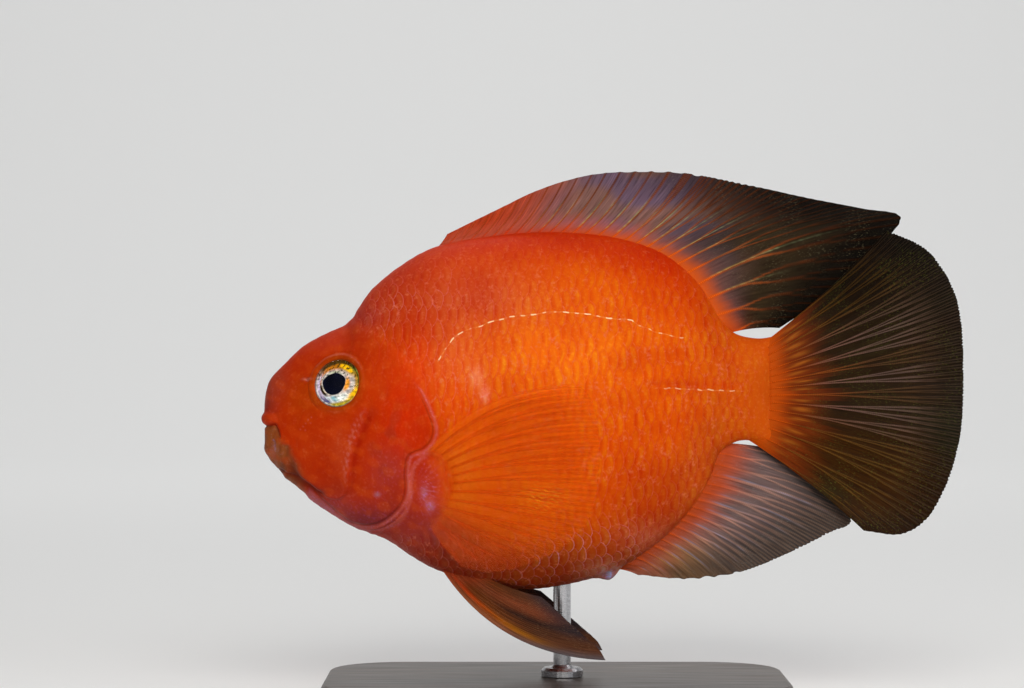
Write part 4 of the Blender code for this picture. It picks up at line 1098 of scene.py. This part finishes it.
def tail_fin(material):
    def sway(across, out):
        return (TAIL_SWAY + TAIL_WAVE * np.sin(across * 5 * math.pi)) * out**2

    fan = Fan(CAUDAL_RAYS, lambda across: 0.05 * (across - 0.5))
    place = median_place(fan, sway, 0.25, 15, 7)
    fin = Fin(place, 15, 36, 96, (0.1, 0.26, 0.45), 0.17, 0.005, seed=31, opening=0.7)
    t, out, rays = fin.t, fin.out, fin.rays
    green = smooth_step(waves(t * 40, out * 6, 9.0, 5)) * smooth_step(out * 3 - 1)
    web = layered(
        (0.022, 0.01, 0.003),
        ((0.04, 0.013, 0.001), rise(t, 0.62, 0.25)),
        ((0.02, 0.02, 0.005), 0.7 * green),
        ((0.18, 0.024, 0.002), 1 - fin.past(9.0, 18.0)),
        (BLACK, 0.45 * rise(out, 0.75, 0.25)),
    )
    sides = rise(np.abs(t - 0.47), 0.16, 0.2)
    pale = smooth_step(fin.own * 1.5) * (1 - sides) * rise(out, 0.15, 0.2) * fall(out, 0.95, 0.3)
    ray = layered(
        (0.24, 0.052, 0.006),
        ((0.08, 0.038, 0.016), rise(out, 0.12, 0.5)),
        ((0.095, 0.044, 0.006), sides * 0.8),
        ((0.04, 0.026, 0.018), rise(out, 0.65, 0.35)),
        ((0.17, 0.11, 0.1), pale * 0.5),
    )
    gold = hump(fin.reach - 8.5 - 2.0 * fin.own, 2.8) * smooth_step(np.abs(fin.beside) / fin.gap * 3 - 0.5)
    shade = 0.5 * fall(t, 0.4, 0.35) + 0.15
    colour = layered(
        web,
        (ray, 0.85 * rays),
        ((0.48, 0.14, 0.012), gold * smooth_step(0.6 + fin.own) * 0.5),
        ((0.5, 0.066, 0.002), 1 - fin.past(4.5, 8.0)),
        (BLACK, shade * rise(out, 0.2, 0.4)),
    )
    cover = 1.0 - 0.04 * (1 - rays) * rise(out, 0.35, 0.5)
    oval = np.sqrt(np.clip(1 - (2 * t - 1) ** 2, 0, 1))
    root = TAIL_ROOT_HALF * oval * np.exp(-fin.reach / TAIL_ROOT_FADE)
    half = fin_half(fin, 0.0, 1.0, ray=0.5) + root * (0.6 + 0.4 * rise(fin.reach, 0, 2.4))
    fin_piece("tail_web", fin, half, colour, cover, material, "tail_fin")


def pectoral_fin(side, name, material):
    roots = [on_skin(*ray[1], 1)[0][1] for ray in PECTORAL_RAYS]
    shares = [ray[0] for ray in PECTORAL_RAYS]

    def place(across, out):
        flat = fan.flat(across, out)
        skin = np.interp(across, shares, roots)
        leaving = ROOT_SUNK * (rise(out, 0, 0.1) - 1) + PECTORAL_LIFT * rise(out, 0, 0.16)
        cup = PECTORAL_CUP * np.sin(math.pi * across) * out**2
        off = side * (skin + leaving + PECTORAL_SPREAD * out - cup)
        return np.stack([flat[..., 0], off, flat[..., 1]], axis=-1)

    fan = Fan(PECTORAL_RAYS, lambda across: 0.13 * (1 - across) ** 1.5 - 0.03 * across, sunk=0.5)
    fin = Fin(place, 13, 30, 72, (0.04, 0.3), 0.3, 0.008, seed=41, opening=0.8)
    t, out, rays = fin.t, fin.out, fin.rays
    lower = rise(t, 0.72, 0.2)
    spots = hump(fin.reach - 8.5, 3.0) * smooth_step(0.8 + fin.own) * (1 - lower) * 0.45
    web = layered((0.96, 0.15, 0.003), ((0.56, 0.056, 0.006), lower * 0.8), ((0.98, 0.32, 0.015), spots))
    ray = layered((0.74, 0.08, 0.001), ((0.5, 0.04, 0.002), lower * 0.7))
    rim = hump(fin.ray - 0.42, 0.22)
    shimmer = smooth_step(1.3 * waves(fin.reach, t * 150, 1.6, 91))
    shimmer *= hump(t - 0.6, 0.06) * hump(fin.reach - 30.0, 7.0)
    colour = layered(
        web,
        (ray, rays),
        ((0.5, 0.032, 0.001), rim * 0.6),
        ((0.56, 0.06, 0.03), 1 - rise(fin.reach, 1.5, 3.0)),
        ((1.0, 0.44, 0.02), shimmer * 0.55),
    )
    cover = (0.22 + 0.2 * rays + 0.14 * rim) * (1 - 0.65 * rise(out, 0.62, 0.38)) + 0.2 * shimmer
    cover = np.maximum(cover, 0.75 * (1 - rise(fin.reach, 1.5, 10.0)) * (0.75 + 0.25 * rays))
    cover *= rise(fin.from_edge, 0, 1.5) * rise(fin.reach, 2.5, 4.0)
    half = fin_half(fin, 0.7, 8.0, ray=0.34, web=0.14, taper=2.0)
    fin_piece(f"pectoral_web_{name}", fin, half, colour, cover, material, f"pectoral_fin_{name}")


def pelvic_fin(side, name, material):
    def place(across, out):
        flat = fan.flat(across, out)
        spread = PELVIC_SPREAD * (1 - 0.45 * across) * out
        off = PELVIC_OFF + PELVIC_OFF_REAR * across + spread + PELVIC_CUP * np.sin(math.pi * out)
        return np.stack([flat[..., 0], side * off, flat[..., 1]], axis=-1)

    fan = Fan(PELVIC_RAYS, lambda across: -0.14 + 0.1 * across, sunk=0.0, root_shift=PELVIC_ROOT_SHIFT)
    fin = Fin(place, 8, 30, 80, (0.12, 0.35, 0.6), 0.24, 0.03, seed=51)
    t, out, rays = fin.t, fin.out, fin.rays
    lead = layered((0.34, 0.11, 0.045), ((0.1, 0.085, 0.09), rise(out, 0.35, 0.4)))
    gold = layered((0.5, 0.045, 0.004), ((0.36, 0.12, 0.004), rise(out, 0.2, 0.4)))
    colour = layered(
        (0.13, 0.03, 0.004),
        ((0.034, 0.018, 0.011), rise(out, 0.35, 0.4)),
        ((0.22, 0.046, 0.018), hump(t - 0.62, 0.16) * rise(out, 0.15, 0.2) * 0.8),
        ((0.2, 0.058, 0.018), rays * 0.4),
        (lead, hump(t, 0.1) * 0.85),
        (gold, hump(t - 0.22 + 0.14 * out, 0.06) * fall(out, 0.85, 0.3) * 0.8),
        ((0.02, 0.01, 0.009), hump(t - 0.44, 0.07) * rise(out, 0.3, 0.3) * 0.8),
        ((0.028, 0.022, 0.028), rise(out, 0.7, 0.3) * rise(t, 0.2, 0.3) * 0.85),
        ((0.44, 0.05, 0.014), (1 - rise(fin.reach, 4, 10)) * 0.8),
    )
    cover = 1.0 - 0.1 * (1 - rays) * rise(out, 0.5, 0.5)
    half = fin_half(fin, 0.9, 10.0, ray=0.36, taper=2.0)
    fin_piece(f"pelvic_web_{name}", fin, half, colour, cover, material, f"pelvic_fin_{name}")


# The pupil's outline: radius by the angle from the snout upwards in degrees
PUPIL_EDGE = (
    (0, 3.35), (20, 3.55), (45, 3.35), (72, 3.18), (102, 3.35), (130, 3.48), (153, 3.68), (178, 3.5),
    (200, 3.28), (227, 3.28), (270, 3.25), (318, 3.18), (345, 3.22), (360, 3.35),
)
PUPIL_RADIUS = 3.3
CORNEA_RADIUS = 6.75

# The iris's rim and the pit behind its pupil: radius and height over the skin
IRIS_RIM = ((7.3, -2.4), (7.2, -0.9), (7.0, -0.2), (6.8, -0.05), (6.6, -0.08), (6.4, -0.2))
IRIS_PIT = ((PUPIL_RADIUS, -0.25), (3.2, -0.6), (3.1, -1.0), (0.0, -1.2))

# Colours of the iris: angle from the snout upwards in degrees, radius, both widths, colour and strength
IRIS_SPOTS = (
    (84, 5.7, 60, 1.4, (0.42, 0.14, 0.004), 1.0), (46, 5.0, 20, 0.6, (0.72, 0.22, 0.006), 0.9),
    (128, 5.4, 24, 0.6, (1.0, 0.6, 0.002), 1.0), (155, 6.0, 24, 0.4, (0.2, 0.32, 0.03), 0.9),
    # The spot at 92 degrees is painted shade along the top of the eye's rim
    (92, 6.4, 60, 0.5, (0.05, 0.03, 0.003), 0.95), (175, 5.8, 28, 0.4, (0.48, 0.26, 0.015), 0.9),
    # The spot at 180 degrees is a painted highlight, a green-white glint on the rim
    (178, 6.15, 34, 0.14, (0.03, 0.02, 0.005), 0.8), (180, 6.5, 36, 0.24, (0.42, 0.56, 0.06), 0.95),
    (186, 3.9, 26, 0.5, (0.92, 0.34, 0.004), 0.95), (226, 5.9, 30, 0.7, (0.92, 0.52, 0.003), 1.0),
    (262, 6.2, 28, 0.5, (0.42, 0.32, 0.01), 1.0), (270, 4.5, 14, 0.7, (0.1, 0.4, 0.5), 0.85),
    # The spot at 245 degrees is a painted highlight, a white glint
    (245, 4.7, 18, 0.8, (0.88, 0.94, 0.88), 0.9), (300, 5.0, 20, 0.7, (0.66, 0.76, 0.82), 0.8),
    (316, 5.8, 24, 0.6, (0.02, 0.03, 0.15), 1.0), (352, 5.4, 36, 0.9, (0.62, 0.52, 0.7), 0.9),
    # The spot at 335 degrees is painted shadow between the iris's inner edge and the lens
    (335, 4.0, 32, 0.6, (0.025, 0.008, 0.002), 1.0), (12, 3.9, 12, 0.3, (0.62, 0.18, 0.005), 0.9),
    (318, 3.45, 36, 0.12, (0.8, 0.7, 0.5), 0.85), (95, 3.55, 34, 0.22, (0.45, 0.5, 0.3), 0.7),
)


def iris_colours(radius, angle):
    """Colours of the eye by distance from the pupil's middle and angle, with painted highlights and shade
    among them.
    """
    colour = (0.62, 0.56, 0.53)
    for at, out, wide, deep, spot, strength in IRIS_SPOTS:
        off = (np.degrees(angle) - at + 180) % 360 - 180
        share = smooth_step(1.7 * hump(off, wide) * hump(radius - out, deep)) * strength
        colour = layered(colour, (spot, share))
    across, up = radius * np.cos(angle), radius * np.sin(angle)
    specks = smooth_step(waves(across, up, 0.9, 61) * 2.4 - 0.9) * (0.3 + 0.6 * rise(up, 0, 3.0))
    colour = layered(colour, ((0.05, 0.022, 0.006), specks))
    colour = colour * (1 + 0.35 * waves(across, up, 1.1, 62))[..., None]
    return layered(colour, ((0.05, 0.026, 0.004), rise(radius, 6.6, 0.3) * 0.9))


def snoutward(axis):
    """The direction towards the snout, square to an eye's axis."""
    forward = np.array([-1.0, 0.0, 0.0]) + axis * axis[0]
    return forward / np.linalg.norm(forward)


def turned(profile, steps, centre, axis, side, lens=True):
    """Points, faces, radii and angles of a round form about an eye's axis, from (radius, height) pairs.

    A lens and what lies round it take the pupil's place and outline, which fade out towards the eye's rim.
    """
    turns = np.linspace(0, 2 * math.pi, steps, endpoint=False)
    forward = snoutward(axis)
    upward = np.cross(forward, axis)
    upward *= math.copysign(1.0, upward[2])
    circle = np.cos(turns)[:, None] * forward + np.sin(turns)[:, None] * upward
    outline = Line(PUPIL_EDGE).points
    outline = np.interp(np.degrees(turns), outline[:, 0], outline[:, 1])[:, None] / PUPIL_RADIUS - 1
    rings = []
    for radius, height in profile:
        middle = centre + axis * height + forward * PUPIL_FORWARD * lens * fall(radius, 6.3, 2.9)
        rings.append(middle + circle * radius * (1 + outline * lens * fall(radius, 5.0, 1.7)))
    points = np.vstack([*rings[:-1], rings[-1][:1]])
    rings = rings[:-1]
    faces = []
    for ring in range(len(rings) - 1):
        for i in range(steps):
            j = (i + 1) % steps
            faces.append((ring * steps + i, ring * steps + j, (ring + 1) * steps + j, (ring + 1) * steps + i))
    last = (len(rings) - 1) * steps
    faces += [(last + i, last + (i + 1) % steps, len(points) - 1) for i in range(steps)]
    if side > 0:
        faces = [face[::-1] for face in faces]
    radii = np.array([radius for radius, _ in profile[:-1] for _ in range(steps)] + [0.0])
    return points, faces, radii, np.concatenate([np.tile(turns, len(rings)), [0.0]])


def iris_material():
    paint = Paint("iris", roughness=0.6, specular_ior_level=0.05)
    grain = paint.noise(0.00035, 3.0)
    colour = paint.scaled(paint.spread(grain, 0.58, 0.7), paint.value_of("tint", "Color"), (0.5, 0.42, 0.35))
    paint.set("base color", paint.scaled(paint.spread(grain, 0.5, 0.34), colour, (1.2, 1.2, 1.2)))
    paint.set("normal", paint.bump(grain, 0.00004, 0.5))
    return paint.material


def cornea_material():
    paint = Paint("cornea", roughness=0.02, ior=1.1, transmission_weight=1.0)
    paint.set("base color", (1.0, 1.0, 1.0))
    return paint.material


def pupil_material():
    """A black lens, a little bluish in its depth."""
    paint = Paint("pupil", roughness=0.5, specular_ior_level=0.05)
    depth = paint.noise(0.004, 1.0)
    paint.set("base color", paint.mix(depth, (0.001, 0.001, 0.002), (0.002, 0.003, 0.016)))
    return paint.material


def make_eye(side, name, materials):
    """A sunk iris with a black lens in its pupil and a clear cornea over them."""
    place, axis = on_skin(*EYE_AT, side)
    disc = [(r, -0.3 + 0.05 * (6.2 - r)) for r in np.linspace(6.2, 3.4, 40)]
    points, faces, radii, angles = turned([*IRIS_RIM, *disc, *IRIS_PIT], 192, place, axis, side)
    piece = new_piece(f"iris_{name}", in_place(points), faces, materials["iris"], [f"eye_{name}"])
    add_values(piece.data, "tint", iris_colours(radii, angles), "FLOAT_COLOR")
    for part, radius, low, high in (("pupil", PUPIL_RADIUS, -0.6, 1.0), ("cornea", CORNEA_RADIUS, -0.1, 1.5)):
        dome = [(radius * math.cos(a), low + high * math.sin(a)) for a in np.linspace(0, math.pi / 2, 18)]
        points, faces = turned([(radius, low - 0.4), *dome], 96, place, axis, side, part == "pupil")[:2]
        new_piece(f"{part}_{name}", in_place(points), faces, materials[part])


def base_material():
    """Dark stained wood with a satin finish."""
    paint = Paint("base_wood", ior=1.45)
    grain = paint.noise(0.02, 5.0, stretch=(0.25, 6.0, 6.0))
    fine = paint.noise(0.004, 4.0, stretch=(0.15, 5.0, 5.0))
    colour = paint.mix(paint.spread(grain, 0.3, 0.7), (0.03, 0.018, 0.012), (0.075, 0.042, 0.026))
    colour = paint.mix(paint.spread(fine, 0.55, 0.75, 0.0, 0.6), colour, (0.016, 0.01, 0.007))
    paint.set("base color", colour)
    paint.set("roughness", paint.spread(fine, 0.3, 0.7, 0.3, 0.44))
    paint.set("normal", paint.bump(fine, 0.00006, 0.5))
    return paint.material


def rod_material():
    """Steel brushed round the rod."""
    paint = Paint("rod_steel", metallic=1.0)
    paint.set("base color", (0.58, 0.58, 0.6))
    brushed = paint.noise(0.0025, 4.0, stretch=(1.0, 1.0, 14.0))
    paint.set("roughness", paint.spread(brushed, 0.3, 0.7, 0.22, 0.4))
    paint.set("normal", paint.bump(brushed, 0.00002, 0.4))
    return paint.material


def finish_stand(frame):
    for node, material in (("stand_base", base_material()), ("stand_rod", rod_material())):
        mesh = frame["nodes"][node].data
        mesh.materials.clear()
        mesh.materials.append(material)


def make_floor():
    """A pale floor that sweeps up into a backdrop."""
    paint = Paint("floor", roughness=0.9, specular_ior_level=0.1)
    paint.set("base color", (0.86, 0.86, 0.85))
    half_width, front, depth, height, bend = 6.0, -6.0, 1.8, 3.6, 1.3
    corner = np.linspace(-math.pi / 2, 0, 24)
    profile = [(front, 0.0)]
    profile += [(depth + bend * math.cos(a), bend + bend * math.sin(a)) for a in corner]
    profile += [(depth + bend, height)]
    points = np.array([(x, y, z) for y, z in profile for x in (-half_width, half_width)])
    faces = [(2 * i, 2 * i + 1, 2 * i + 3, 2 * i + 2) for i in range(len(profile) - 1)]
    mesh = bpy.data.meshes.new("floor")
    mesh.from_pydata(points.tolist(), [], faces)
    mesh.shade_smooth()
    mesh.materials.append(paint.material)
    floor = bpy.data.objects.new("floor", mesh)
    bpy.context.scene.collection.objects.link(floor)


def add_light(name, place, target, size, power, colour=(1.0, 1.0, 1.0)):
    data = bpy.data.lights.new(name, "AREA")
    data.shape = "RECTANGLE"
    data.size, data.size_y = size
    data.energy = power
    data.color = colour
    lamp = bpy.data.objects.new(name, data)
    lamp.location = place
    lamp.rotation_mode = "QUATERNION"
    lamp.rotation_quaternion = (Vector(target) - Vector(place)).to_track_quat("-Z", "Y")
    bpy.context.scene.collection.objects.link(lamp)


def make_studio():
    middle = (-0.01, 0.0, 0.09)
    add_light("key", (0.05, -0.95, 0.6), middle, (0.6, 0.5), 6.9, (1.0, 0.97, 0.93))
    add_light("fill", (0.75, -0.8, 0.45), middle, (0.5, 0.5), 1.6, (0.95, 0.97, 1.0))
    add_light("top", (0.1, 0.0, 1.0), middle, (0.8, 0.6), 1.9)
    add_light("backdrop", (0.0, 1.2, 2.3), (0.0, 2.3, 0.4), (3.2, 0.8), 40.0)
    world = bpy.data.worlds.new("studio")
    bpy.context.scene.world = world
    world.use_nodes = True
    surround = world.node_tree.nodes["Background"]
    surround.inputs["Color"].default_value = (0.95, 0.96, 1.0, 1.0)
    surround.inputs["Strength"].default_value = 0.16
    bpy.context.scene.view_settings.view_transform = "Standard"


def make_camera():
    data = bpy.data.cameras.new("camera")
    data.sensor_width = SENSOR_WIDTH
    data.lens = SENSOR_WIDTH * CAMERA_DISTANCE / (IMAGE_WIDTH * MM_PER_PIXEL)
    data.clip_start, data.clip_end = 0.01, 20.0
    camera = bpy.data.objects.new("camera", data)
    camera.location = in_place((VIEW_CENTRE[0], -CAMERA_DISTANCE, VIEW_CENTRE[1]))
    camera.rotation_euler = (math.pi / 2, 0.0, 0.0)
    bpy.context.scene.collection.objects.link(camera)
    bpy.context.scene.camera = camera


def main():
    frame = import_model()
    make_camera()
    make_skin(skin_material())
    dorsal_fin(fin_material("dorsal_web"))
    anal_fin(fin_material("anal_web", glint=(0.34, 0.4, 0.36), strength=0.5))
    tail_fin(fin_material("tail_web", streaks=9.0, glint=(0.12, 0.13, 0.02), glints=0.4))
    clear_web = fin_material("pectoral_web", 3.0, (0.95, 0.3, 0.04), 0.25, beads=0.2, strength=0.3)
    pelvic_web = fin_material("pelvic_web", 7.0, (0.5, 0.3, 0.16), 0.3)
    eye_materials = {"iris": iris_material(), "pupil": pupil_material(), "cornea": cornea_material()}
    for side, name in ((-1, "left"), (1, "right")):
        pectoral_fin(side, name, clear_web)
        pelvic_fin(side, name, pelvic_web)
        make_eye(side, name, eye_materials)
    finish_stand(frame)
    make_floor()
    make_studio()


main()
